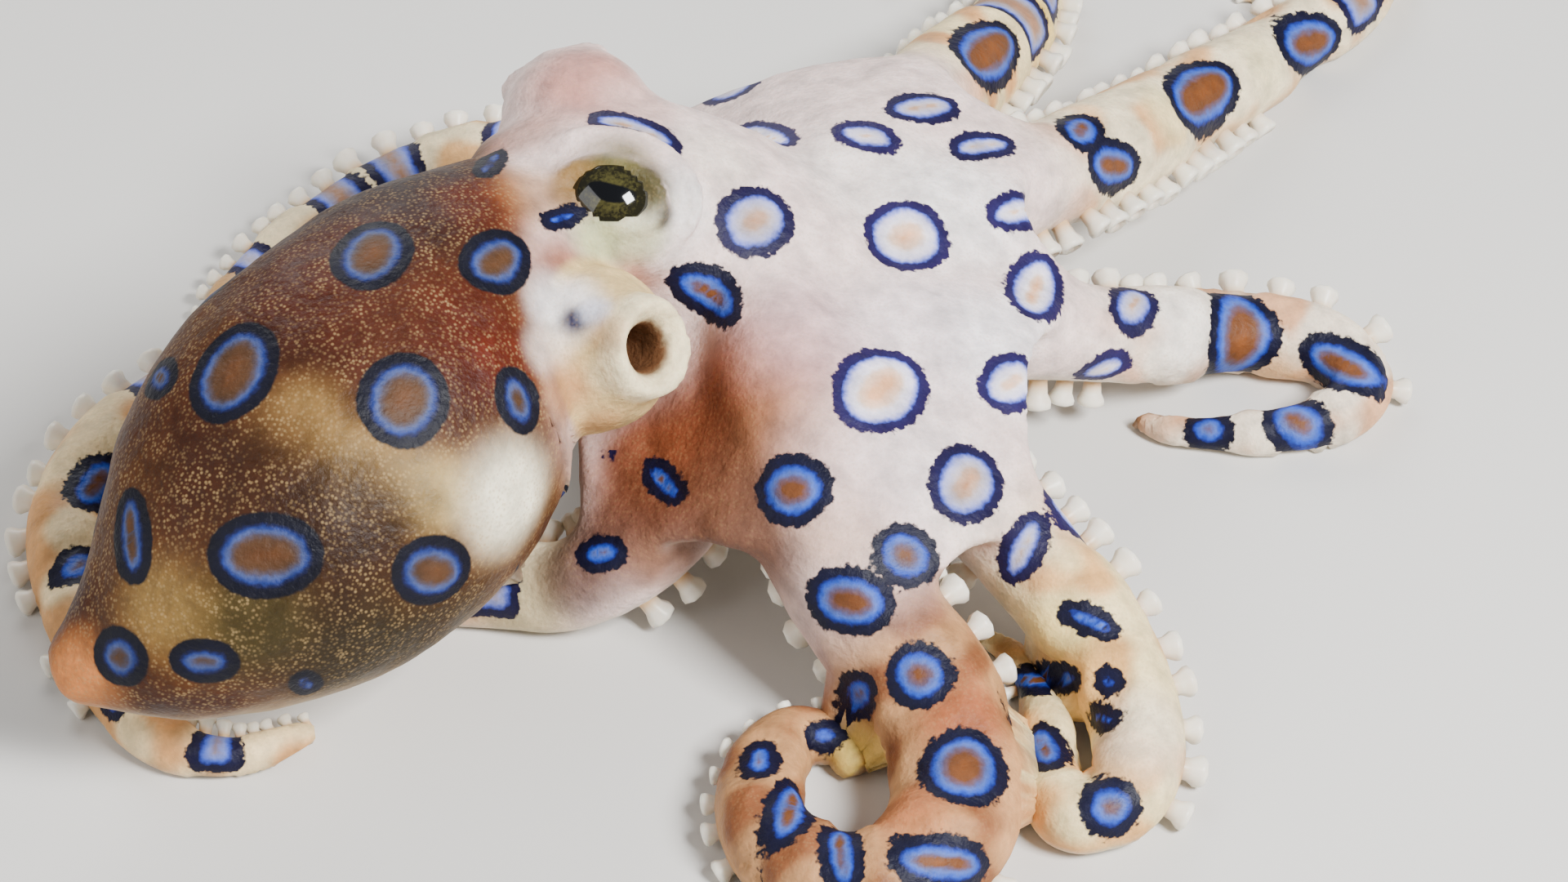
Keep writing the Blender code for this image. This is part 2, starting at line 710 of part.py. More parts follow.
def funnel_room(helpers):
    """The space that the funnel and its gap take from the flesh round it."""
    top = FUNNEL_LENGTH + FUNNEL_CLEARANCE
    profile = [*funnel_outside(GAP), (FUNNEL_TIP_RADIUS + GAP, top), (0, top)]
    return turned("funnel_room", profile, FUNNEL_BASE, FUNNEL_AIM, TURNED_SIDES, helpers)


def mouth(collection):
    """The round lip under the crown, with the opening where the beak sits."""
    low, top = MOUTH_LOW, MOUTH_TOP
    profile = [(0, top), (MOUTH_RADIUS, top), (MOUTH_RADIUS, low + 0.8), (0.8 * MOUTH_RADIUS, low),
               (0.5 * MOUTH_RADIUS, low + 0.1), (0.35 * MOUTH_RADIUS, low + 0.7),
               (0.3 * MOUTH_RADIUS, low + BEAK_DEPTH), (0, low + BEAK_DEPTH)]
    return turned("mouth", profile, Vector((HUB.x, HUB.y, 0)), Vector((0, 0, 1)), TURNED_SIDES, collection)


def mouth_room(helpers):
    """The space that the lip and its gap take from the crown, open below."""
    radius = MOUTH_RADIUS + GAP
    profile = [(0, MOUTH_TOP + GAP), (radius, MOUTH_TOP + GAP), (radius, 0), (0, 0)]
    return turned("mouth_room", profile, Vector((HUB.x, HUB.y, 0)), Vector((0, 0, 1)), TURNED_SIDES,
                  helpers)


def crown_sectors(crown, helpers):
    """The crown with its suckers, cut into the mouth and eight webbed arm roots."""
    rng = random.Random(8)
    row = bpy.data.collections.new("root_suckers")
    helpers.children.link(row)
    for arm in ARMS:
        sucker_row(arm, 0, arm.web_end, row, rng)
    boolean(crown, row, "UNION")
    discard(row.objects)
    keep_largest(crown)
    for arm in ARMS:
        line = LINES[arm.name]
        ahead, _, _ = line.frame(arm.web_end)
        cutter = box("root_end", line.at(arm.web_end) + ahead * ROOT_END_TRIM[2] / 2, ahead,
                     ROOT_END_TRIM, helpers)
        boolean(crown, cutter, "DIFFERENCE")
        discard([cutter])
    room = mouth_room(helpers)
    boolean(crown, room, "DIFFERENCE")
    discard([room])
    keep_largest(crown)
    for arm, neighbour in zip(ARMS, ARMS[1:] + ARMS[:1]):
        notch = (LINES[arm.name].at(arm.web_end - arm.web_dip)
                 + LINES[neighbour.name].at(neighbour.web_end - arm.web_dip)) / 2
        out = Vector((notch.x - HUB.x, notch.y - HUB.y, 0)).normalized()
        across = out.cross(Vector((0, 0, 1)))
        middle = Vector((HUB.x, HUB.y, WEB_CUT_HEIGHT)) + out * WEB_CUT[0] / 2
        shape = bmesh.new()
        bmesh.ops.create_cube(shape, size=1.0)
        bmesh.ops.scale(shape, vec=Vector(WEB_CUT), verts=shape.verts)
        turn = Matrix((out, -across, Vector((0, 0, 1)))).transposed().to_4x4()
        bmesh.ops.transform(shape, matrix=Matrix.Translation(middle) @ turn, verts=shape.verts)
        cutter = from_bmesh("web_cut", shape, helpers)
        boolean(crown, cutter, "DIFFERENCE")
        discard([cutter])
    pieces = split_off(crown, len(ARMS), helpers)
    named = {}
    for piece in pieces:
        spot = middle_of(piece)
        reach = {arm.name: (spot - LINES[arm.name].at(arm.web_end * 0.6)).length for arm in ARMS}
        named[min(reach, key=reach.get)] = piece
    return named


def build():
    """The whole animal."""
    discard(bpy.data.objects)
    animal = bpy.data.collections.new("blue_ringed_octopus")
    helpers = bpy.data.collections.new("cutters")
    bpy.context.scene.collection.children.link(animal)
    bpy.context.scene.collection.children.link(helpers)
    tan = material("tan skin", SKIN_TAN, 0.45)
    pale = material("pale skin", SKIN_PALE, 0.45)
    cream = material("cream funnel skin", FUNNEL_CREAM, 0.5)
    wet = material("wet eye", EYE_GREEN, 0.08)

    nodes = {}
    trunk = fused_trunk(helpers)
    for name, place, aim in (("eye_right", RIGHT_EYE, RIGHT_EYE_AIM), ("eye_left", LEFT_EYE, LEFT_EYE_AIM)):
        room = ball("eye_room", place + aim.normalized() * EYE_BALL_OUT, EYE_BALL_RADIUS + 1.5 * GAP, helpers,
                    detail=2)
        boolean(trunk, room, "DIFFERENCE")
        discard([room])
        nodes[name] = eye(name, place, aim, animal)
    room = funnel_room(helpers)
    boolean(trunk, room, "DIFFERENCE")
    discard([room])
    keep_largest(trunk)
    nodes["funnel"] = funnel(animal)
    nodes["mouth"] = mouth(animal)

    neck = disc("neck_cut", NECK, NECK_AIM, NECK_CUT_RADIUS, helpers)
    nodes["mantle"], front = parted(trunk, neck, NECK_AIM, helpers)
    collar = disc("collar_cut", COLLAR, COLLAR_AIM, COLLAR_CUT_RADIUS, helpers)
    nodes["head"], crown = parted(front, collar, COLLAR_AIM, helpers)
    for name, piece in crown_sectors(crown, helpers).items():
        nodes[f"arm_{name}_root"] = piece

    rng = random.Random(88)
    for arm in ARMS:
        line = LINES[arm.name]
        stops = [arm.web_end, *arm.cuts, line.length]
        for number, (start, end) in enumerate(zip(stops, stops[1:])):
            name = f"arm_{arm.name}_{LENGTH_NAMES[number]}"
            length = arm_tube(name, arm, start + GAP, end, ARM_STEP, ARM_SIDES, animal)
            row = bpy.data.collections.new("row")
            helpers.children.link(row)
            sucker_row(arm, start + GAP, end, row, rng)
            if row.objects:
                boolean(length, row, "UNION")
                discard(row.objects)
            bpy.data.collections.remove(row)
            keep_largest(length)
            nodes[name] = length
    under = FLOOR_CENTRE - Vector((0, 0, FLOOR_BLOCK[2] / 2))
    floor = box("floor_cut", under, Vector((0, 0, 1)), FLOOR_BLOCK, helpers)
    for name, made in nodes.items():
        if min(vert.co.z for vert in made.data.vertices) < TOUCHING:
            boolean(made, floor, "DIFFERENCE")
            keep_largest(made)
    discard([floor])
    for name, made in nodes.items():
        made.name = name
        if made.name not in animal.objects:
            helpers.objects.unlink(made)
            animal.objects.link(made)
        finish = {"arm": pale, "eye": wet, "funnel": cream, "mouth": cream}.get(name.split("_")[0], tan)
        made.data.materials.append(finish)
        made.data.transform(Matrix.Scale(0.001, 4) @ Matrix.Translation(-FLOOR_CENTRE))


build()
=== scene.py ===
"""Dresses the blue-ringed octopus: one marked skin, its suckers, its eyes and a plain studio.

Lengths are in millimetres in the animal's own place. Each finished mesh is scaled to metres and
moved so that the middle of the footprint is the origin, as in the part's source, whose sizes
and arm routes are repeated here.
"""

import logging
import math
import random
from dataclasses import dataclass, field
from enum import Enum

import bmesh
import bpy
import numpy as np
from mathutils import Matrix, Vector, noise
from mathutils.bvhtree import BVHTree
from mathutils.kdtree import KDTree


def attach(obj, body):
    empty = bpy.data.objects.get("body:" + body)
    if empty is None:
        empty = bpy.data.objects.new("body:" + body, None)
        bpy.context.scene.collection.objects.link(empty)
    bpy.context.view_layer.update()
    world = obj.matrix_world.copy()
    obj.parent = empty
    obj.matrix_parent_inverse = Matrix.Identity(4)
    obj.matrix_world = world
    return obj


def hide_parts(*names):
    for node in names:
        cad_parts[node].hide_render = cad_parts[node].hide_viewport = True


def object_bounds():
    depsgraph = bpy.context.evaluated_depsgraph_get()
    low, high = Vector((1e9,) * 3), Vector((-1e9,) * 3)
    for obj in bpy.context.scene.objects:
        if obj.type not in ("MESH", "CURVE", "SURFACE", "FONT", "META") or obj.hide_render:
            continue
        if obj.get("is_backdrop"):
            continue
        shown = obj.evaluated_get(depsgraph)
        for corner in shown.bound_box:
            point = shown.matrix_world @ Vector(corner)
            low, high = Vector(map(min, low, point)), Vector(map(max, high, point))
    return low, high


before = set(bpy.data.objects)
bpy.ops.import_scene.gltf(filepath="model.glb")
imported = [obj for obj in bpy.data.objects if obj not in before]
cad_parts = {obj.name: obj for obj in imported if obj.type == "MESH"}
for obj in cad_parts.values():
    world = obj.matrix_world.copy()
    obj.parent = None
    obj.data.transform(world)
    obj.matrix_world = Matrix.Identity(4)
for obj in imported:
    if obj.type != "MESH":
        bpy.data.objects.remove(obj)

logging.basicConfig(level=logging.INFO, format="%(message)s")
LOG = logging.getLogger("octopus")

Point = tuple[float, float, float]
Colour = tuple[float, float, float, float]

Stops = tuple[tuple[float, str], ...]

MM = 0.001
# The middle of the footprint in the animal's own place
FLOOR_CENTRE = Vector((-1.59, 13.41, 0.0))
# The middle of the crown, over the mouth
HUB = Vector((-1.0, 5.5, 12.0))
# The distance to a ring's outline where no ring is near
FAR = 9.0


def linear(hex_code: str) -> Colour:
    """Turns an sRGB hex colour to linear.

    Args:
        hex_code: six hex digits.

    Returns:
        Linear red, green, blue and an alpha of one.
    """
    parts = [int(hex_code[index:index + 2], 16) / 255 for index in (0, 2, 4)]
    red, green, blue = (v / 12.92 if v <= 0.04045 else ((v + 0.055) / 1.055) ** 2.4 for v in parts)
    return red, green, blue, 1.0


def smooth(low: float, high: float, values: np.ndarray) -> np.ndarray:
    """Runs smoothly from 0 at low to 1 at high.

    Args:
        low: where the step starts.
        high: where it ends.
        values: the numbers to read.

    Returns:
        The step's height at each number.
    """
    share = np.clip((values - low) / (high - low), 0, 1)
    return share * share * (3 - 2 * share)


def deselect() -> None:
    """Leaves nothing selected and no object in edit mode."""
    if bpy.context.object and bpy.context.object.mode != "OBJECT":
        bpy.ops.object.mode_set(mode="OBJECT")
    bpy.ops.object.select_all(action="DESELECT")


def add_object(name: str, data: bpy.types.ID) -> bpy.types.Object:
    """Adds an object to the scene that shows a mesh, a light or a camera."""
    made = bpy.data.objects.new(name, data)
    bpy.context.scene.collection.objects.link(made)
    return made


def corners_of(piece: bpy.types.Object, what: str = "co") -> np.ndarray:
    """Reads three numbers for each corner of a mesh.

    Args:
        piece: the mesh object.
        what: co for the corners' places, normal for the outward directions there.

    Returns:
        Rows of x, y and z.
    """
    rows = np.empty(len(piece.data.vertices) * 3)
    piece.data.vertices.foreach_get(what, rows)
    return rows.reshape(-1, 3)


def set_corners(piece: bpy.types.Object, places: np.ndarray) -> None:
    """Moves a mesh's corners to the rows of places."""
    piece.data.vertices.foreach_set("co", places.astype(np.float32).ravel())
    piece.data.update()


def store(piece: bpy.types.Object, name: str, values: np.ndarray) -> None:
    """Stores one number or one colour for each corner of a piece.

    Args:
        piece: the mesh object.
        name: the attribute's name, as the materials read it.
        values: one number a corner, or one row of four.
    """
    kind = "FLOAT" if values.ndim == 1 else "FLOAT_COLOR"
    made = piece.data.attributes.new(name, kind, "POINT")
    made.data.foreach_set("value" if values.ndim == 1 else "color", values.astype(np.float32).ravel())


def noise_at(places: np.ndarray, size: float, seed: float = 0.0) -> np.ndarray:
    """Smooth noise from -1 to 1 at each place.

    Args:
        places: rows of x, y and z.
        size: the width of one wave of the noise.
        seed: moves the pattern to another part of the noise.

    Returns:
        One number for each place.
    """
    return np.array([noise.noise(Vector(place) / size + Vector((seed, seed, seed))) for place in places])


def dots(first: np.ndarray, second: np.ndarray) -> np.ndarray:
    """The scalar product of each row of one table with the same row of the other."""
    return np.einsum("ij,ij->i", first, second)


def flat_turn(angle: float) -> np.ndarray:
    """The matrix that turns places on a plane by an angle."""
    return np.array([[math.cos(angle), math.sin(angle)], [-math.sin(angle), math.cos(angle)]])


def carried(places: np.ndarray, place: Matrix) -> np.ndarray:
    """Rows of places, turned and moved by a matrix."""
    turn = np.array(place)
    return places @ turn[:3, :3].T + turn[:3, 3]


def blend(under: np.ndarray | str, over: np.ndarray | str, share: np.ndarray) -> np.ndarray:
    """Lays one colour over another.

    Args:
        under: the colours below, one for each corner, or a single one as sRGB hex.
        over: the colours on top, in the same way.
        share: how much of the top covers each corner.

    Returns:
        One colour for each corner.
    """
    below, top = (np.array(linear(side)) if isinstance(side, str) else side for side in (under, over))
    return below * (1 - share[:, None]) + top * share[:, None]


def settle(piece: bpy.types.Object) -> None:
    """Scales a finished piece to metres and moves it to the model's own origin."""
    piece.data.transform(Matrix.Scale(MM, 4) @ Matrix.Translation(-FLOOR_CENTRE))
    piece.data.update()


def add_node(tree: bpy.types.NodeTree, kind: str, inputs: dict | None = None, ramp: Stops = (),
             **settings: object) -> bpy.types.Node:
    """Adds one node with its settings and links.

    Args:
        tree: the material's node tree.
        kind: the node's type.
        inputs: each input socket with its fixed value or the output socket that feeds it.
        ramp: a colour ramp's stops, as places and sRGB hex colours.
        settings: the node's own properties.

    Returns:
        The new node.
    """
    made = tree.nodes.new(kind)
    for name, value in settings.items():
        setattr(made, name, value)
    for socket, value in (inputs or {}).items():
        if isinstance(value, bpy.types.NodeSocket):
            tree.links.new(value, made.inputs[socket])
        else:
            made.inputs[socket].default_value = value
    if ramp:
        stops = made.color_ramp.elements
        while len(stops) < len(ramp):
            stops.new(0.5)
        for stop, (place, colour) in zip(stops, ramp):
            stop.position = place
            stop.color = linear(colour)
    return made


def new_material(name: str, finish: dict) -> bpy.types.Material:
    """Starts a material from its shader's plain values.

    Args:
        name: the material's name.
        finish: the shader's input sockets with their values.

    Returns:
        The material, with its node tree.
    """
    made = bpy.data.materials.new(name)
    made.use_nodes = True
    for socket, value in finish.items():
        made.node_tree.nodes["Principled BSDF"].inputs[socket].default_value = value
    return made


@dataclass(frozen=True)
class PhotoView:
    """Where the photo was taken from: its pixels give rays, and the camera stands there.

    Attributes:
        elevation: the camera's height above the horizon, in degrees.
        lens: its focal length.
        sensor: its sensor's width.
        distance: how far it stands from the target.
        target: the point it looks at.
        wide: the photo's width in pixels.
        tall: the photo's height in pixels.
    """

    elevation: float = 42.0
    lens: float = 100.0
    sensor: float = 36.0
    distance: float = 293.33
    target: Point = (0.0, 0.0, 6.0)
    wide: int = 1920
    tall: int = 1080

    @property
    def ahead(self) -> Vector:
        """The direction that the camera looks in."""
        angle = math.radians(self.elevation)
        return Vector((0, math.cos(angle), -math.sin(angle)))

    @property
    def upward(self) -> Vector:
        """The picture's up direction."""
        angle = math.radians(self.elevation)
        return Vector((0, math.sin(angle), math.cos(angle)))

    @property
    def eye(self) -> Vector:
        """The camera's place."""
        return Vector(self.target) - self.ahead * self.distance

    def ray(self, across: float, down: float) -> Vector:
        """The direction from the camera through a pixel of the photo."""
        pitch = self.sensor / self.wide
        right = Vector((1, 0, 0)) * (across - self.wide / 2) * pitch
        return (self.ahead * self.lens + right + self.upward * (self.tall / 2 - down) * pitch).normalized()

    def pixel_size(self, place: Vector) -> float:
        """The width of one pixel at a place's depth."""
        depth = (place - self.eye).dot(self.ahead)
        return depth / self.lens * self.sensor / self.wide

    def set_camera(self) -> None:
        """Adds the scene's camera in the model's own frame."""
        made = add_object("camera", bpy.data.cameras.new("camera"))
        made.data.lens = self.lens
        made.data.sensor_width = self.sensor
        made.data.clip_start = 0.01
        made.location = (self.eye - FLOOR_CENTRE) * MM
        made.rotation_euler = self.ahead.to_track_quat("-Z", "Y").to_euler()
        bpy.context.scene.camera = made


@dataclass
class Line:
    """A smooth line through a few route points, sampled evenly.

    Attributes:
        route: the points that it passes through.
        step: the distance between samples.
        between: how many points are worked out from one route point to the next.
        reach: how far ahead and back the line's direction is read.
    """

    route: tuple[Point, ...]
    step: float = 0.25
    between: int = 20
    reach: float = 0.6
    spots: np.ndarray = field(init=False)
    length: float = field(init=False)

    def __post_init__(self) -> None:
        """Samples the line evenly from its route."""
        knots = np.array(self.route, float)
        knots = np.vstack([2 * knots[0] - knots[1], knots, 2 * knots[-1] - knots[-2]])
        fine = []
        for a, b, c, d in zip(knots, knots[1:], knots[2:], knots[3:]):
            for t in np.arange(self.between) / self.between:
                fine.append(0.5 * (2 * b + (c - a) * t + (2 * a - 5 * b + 4 * c - d) * t * t
                                   + (3 * b - 3 * c + d - a) * t * t * t))
        fine = np.array([*fine, knots[-2]])
        along = np.concatenate([[0], np.cumsum(np.linalg.norm(np.diff(fine, axis=0), axis=1))])
        even = np.linspace(0, along[-1], max(3, round(along[-1] / self.step) + 1))
        self.spots = np.column_stack([np.interp(even, along, fine[:, axis]) for axis in range(3)])
        self.length = float(np.linalg.norm(np.diff(self.spots, axis=0), axis=1).sum())
        self.step = self.length / (len(self.spots) - 1)

    def at(self, distance: float) -> Vector:
        """The point at a distance along the line."""
        place = min(max(distance / self.step, 0.0), len(self.spots) - 1.0)
        index = min(int(place), len(self.spots) - 2)
        share = place - index
        return Vector(self.spots[index] * (1 - share) + self.spots[index + 1] * share)

    def frame(self, distance: float) -> tuple[Vector, Vector, Vector]:
        """The line's direction, side and back at a distance along it."""
        ahead = (self.at(distance + self.reach) - self.at(distance - self.reach)).normalized()
        side = ahead.cross(Vector((0, 0, 1))).normalized()
        return ahead, side, side.cross(ahead).normalized()


@dataclass(frozen=True)
class Station:
    """One oval section of a tapered body: its middle, half width and half height."""

    x: float
    y: float
    z: float
    half_width: float
    half_height: float


@dataclass
class Arm:
    """One arm: its route, thickness, web and the rings that its back carries.

    Attributes:
        name: the side of the body and the arm's number from the front.
        route: points along its middle.
        root_radius: half its thickness at the mouth.
        web_end: how far along it the web reaches.
        web_dip: how far the web to the next arm dips in between them.
        bands: the middles of its marks, by the distance along it, where the photo doesn't place them.
        ground: its skin's two colours, as sRGB hex.
        tip_radius: half its thickness at the tip.
        taper: how it thins between them, the slower at first the smaller it is.
        under_row: the sucker row that is rolled under it, 1 for its right, -1 for its left, 0 for none.
        resting: the least height of its middle over its radius, where it lies on the floor.
    """

    name: str
    route: tuple[Point, ...]
    root_radius: float
    web_end: float
    web_dip: float
    bands: tuple[float, ...]
    ground: tuple[str, str]
    tip_radius: float = 0.5
    taper: float = 0.62
    under_row: int = 0
    resting: float = 0.86
    line: Line = field(init=False)

    def __post_init__(self) -> None:
        """Lays the arm's middle line no lower than its thickness lets it."""
        self.line = Line(self.route)
        along = np.arange(len(self.line.spots)) * self.line.step
        self.line.spots[:, 2] = np.maximum(self.line.spots[:, 2], self.resting * self.radius(along))

    def radius(self, distance: np.ndarray | float) -> np.ndarray | float:
        """Half the arm's thickness at a distance along it."""
        share = np.clip(np.asarray(distance) / self.line.length, 0, 1)
        return self.tip_radius + (self.root_radius - self.tip_radius) * (1 - share) ** self.taper


ARMS = (
    Arm("r1", ((0, 6.5, 13.5), (9, 6.5, 12), (17, 8.2, 9), (25, 11.8, 5.2), (32, 14.6, 3),
               (37.6, 13.8, 2.5), (40, 10.2, 2), (37, 6.8, 1.6), (31.2, 6, 1.3),
               (26.6, 6.8, 0.9), (24.2, 8.6, 0.4)), 4.7, 22.0, 5.0,
        (58.5, 61.5), ("f2e2cc", "dda070"), taper=0.8, under_row=1),
    Arm("r2", ((0.5, 4.5, 13.5), (6.5, -2.2, 12.5), (11.8, -8.2, 9.8), (15.8, -12.2, 7.2),
               (19.3, -16.2, 5.2), (21.7, -20.8, 3.4), (22.5, -26, 2.5), (20.8, -30.1, 2.3),
               (18, -30.4, 2), (16.9, -26.8, 1.7), (16.9, -22.6, 1.4), (16.3, -18.6, 1),
               (15, -15.2, 0.7), (12.6, -12.8, 0.4)), 4.9, 24.5, 2.0,
        (58.0, 61.0, 64.0), ("efd9a4", "dba05e"), taper=0.85, under_row=1),
    Arm("r3", ((-1, 2, 14), (0.5, -6, 14), (2.6, -13.4, 11), (5.2, -17.8, 7.8), (8.5, -21.8, 5.4),
               (10.7, -26.6, 3.4), (10.4, -32.6, 2.8), (7.2, -36.8, 2.5), (2.6, -36.6, 2.2),
               (-0.7, -32.8, 2), (-1.4, -27.8, 1.6), (0.4, -23.9, 1.2), (3.4, -23.7, 0.8),
               (5, -26.2, 0.5)), 5.4, 26.0, 2.5,
        (62.5, 66.0, 69.0), ("bd8d60", "7c4426"), taper=0.52, under_row=1),
    Arm("r4", ((-4, 2, 12.5), (-5, -4, 10.8), (-7.6, -9, 7.6), (-11.6, -11.2, 4.8),
               (-16, -10.6, 2.4), (-23, -9.4, 1.7), (-30, -7.6, 1.1), (-35, -3.2, 0.4)),
        4.4, 19.0, 3.0, (26.5, 31.5, 35.5, 39.0, 42.0), ("c79d7c", "8a583c"), under_row=-1),
    Arm("l4", ((-5, 9, 12), (-10, 14, 8.6), (-16, 17.5, 5.4), (-24, 17, 2.9), (-33, 12, 2.6),
               (-40.5, 8.2, 2.3), (-45.6, 3, 2.1), (-47.8, -3.6, 1.8), (-46.8, -10.6, 1.6),
               (-43.8, -17.8, 1.3), (-40, -23.3, 1), (-35, -24.6, 0.8), (-30, -21.8, 0.4)),
        4.4, 17.0, 3.0, (21.0, 27.0, 33.0, 39.0, 45.0, 50.5, 56.0, 61.0, 66.0, 70.5, 75.0, 79.0, 83.0, 86.5),
        ("ead2a4", "c98c50")),
    Arm("l3", ((-3, 12, 12.5), (-6, 20, 11), (-10, 27.5, 7.6), (-17.5, 33, 4.4),
               (-26.5, 33.2, 1.9), (-34, 27.6, 1.4), (-39.4, 21, 0.9), (-41, 15.4, 0.4)),
        4.3, 19.0, 4.0, (23.0, 29.0, 34.5, 39.5, 44.5, 49.0, 53.0, 56.5), ("ead8b0", "c89458")),
    Arm("l2", ((0, 11, 14), (3.6, 18, 14.4), (7.6, 26, 12.8), (10.8, 33.2, 9.8), (14.4, 41.8, 6.6),
               (17.8, 50.8, 4), (18.6, 60.2, 1.6), (14.8, 65.2, 1.3), (9.4, 64.2, 0.9), (7.2, 59.2, 0.4)),
        4.9, 25.0, 5.0, (34.0, 40.0, 46.0, 51.5, 56.5, 61.0, 65.0, 68.5), ("f1dcaa", "da985a")),
    Arm("l1", ((1, 9, 14), (8, 13.5, 13.6), (15.5, 20.8, 11), (22.5, 29, 7.6), (30, 39.4, 4.2),
               (37.6, 48.4, 2), (43.8, 55, 1.6), (45.8, 61.2, 1.3), (42, 64.9, 1),
               (37.4, 61.6, 0.7), (36.8, 56.9, 0.4)), 4.6, 25.0, 6.0,
        (58.5, 63.5, 68.0, 72.0, 76.0, 79.5, 83.0), ("f1e0bc", "da9f62")),
)


def turn_to(aim: Vector) -> Matrix:
    """The turn that brings +Z to an aim."""
    return aim.normalized().to_track_quat("Z", "Y").to_matrix().to_4x4()


def eye_turn(aim: Vector, roll: float) -> Matrix:
    """The turn that brings +Z to an eye's aim and +X level, then rolls it about the aim."""
    aim = aim.normalized()
    side = Vector((0, 0, 1)).cross(aim).normalized()
    level = Matrix((side, aim.cross(side), aim)).transposed().to_4x4()
    return level @ Matrix.Rotation(roll, 4, "Z")


@dataclass
class Flesh:
    """Collects the masses of the body in one mesh, to be fused."""

    shape: bmesh.types.BMesh = field(default_factory=bmesh.new)

    def loft(self, rings: list[list[Vector]], closed: bool = False) -> None:
        """Adds a skin through rings of points.

        Args:
            rings: loops of points, all with the same count.
            closed: joins the last ring to the first instead of capping both.
        """
        loops = [[self.shape.verts.new(point) for point in ring] for ring in rings]
        pairs = list(zip(loops, loops[1:])) + ([(loops[-1], loops[0])] if closed else [])
        for ring, following in pairs:
            for index in range(len(ring)):
                after = (index + 1) % len(ring)
                self.shape.faces.new((ring[index], ring[after], following[after], following[index]))
        if not closed:
            self.shape.faces.new(loops[0])
            self.shape.faces.new(loops[-1])

    def ball(self, centre: Vector, radius: float, stretch: Point = (1, 1, 1)) -> None:
        """Adds a ball, or an egg when it is stretched."""
        made = bmesh.ops.create_icosphere(self.shape, subdivisions=4, radius=radius)["verts"]
        bmesh.ops.scale(self.shape, vec=stretch, verts=made)
        bmesh.ops.translate(self.shape, vec=centre, verts=made)

    def ring(self, place: Matrix, profile: list[tuple[float, float]], squash: float = 1.0,
             sides: int = 40) -> None:
        """Adds a ring turned from a closed profile of (radius, height).

        Args:
            place: where the ring stands and how it is turned.
            profile: the section's points.
            squash: the ring's height over its width.
            sides: the number of sections.
        """
        rings = []
        for index in range(sides):
            angle = 2 * math.pi * index / sides
            rings.append([place @ Vector((r * math.cos(angle), r * squash * math.sin(angle), h))
                          for r, h in profile])
        self.loft(rings, closed=True)

    def turned(self, centre: Vector, aim: Vector, profile: list[tuple[float, float]],
               sides: int = 36) -> None:
        """Adds a body turned about an aim from a profile that starts and ends near its axis.

        Args:
            centre: where the profile's height is zero.
            aim: the way that its axis points.
            profile: points of (radius, height).
            sides: the number of sections.
        """
        place = Matrix.Translation(centre) @ turn_to(aim)
        angles = [2 * math.pi * index / sides for index in range(sides)]
        self.loft([[place @ Vector((radius * math.cos(a), radius * math.sin(a), height)) for a in angles]
                   for radius, height in profile])

    def fused(self, name: str, voxel: float, smoothing: int) -> bpy.types.Object:
        """Fuses the masses to one closed skin and frees them.

        Args:
            name: the new object's name.
            voxel: the size of the fused mesh's faces.
            smoothing: how many times it is smoothed.

        Returns:
            The fused object, with its modifiers applied.
        """
        bmesh.ops.recalc_face_normals(self.shape, faces=self.shape.faces)
        made = add_object(name, bpy.data.meshes.new(name))
        self.shape.to_mesh(made.data)
        self.shape.free()
        deselect()
        made.select_set(True)
        bpy.context.view_layer.objects.active = made
        remesh = made.modifiers.new("fuse", "REMESH")
        remesh.mode = "VOXEL"
        remesh.voxel_size = voxel
        soften = made.modifiers.new("soften", "SMOOTH")
        soften.factor = 0.5
        soften.iterations = smoothing
        bpy.ops.object.modifier_apply(modifier=remesh.name)
        bpy.ops.object.modifier_apply(modifier=soften.name)
        return made


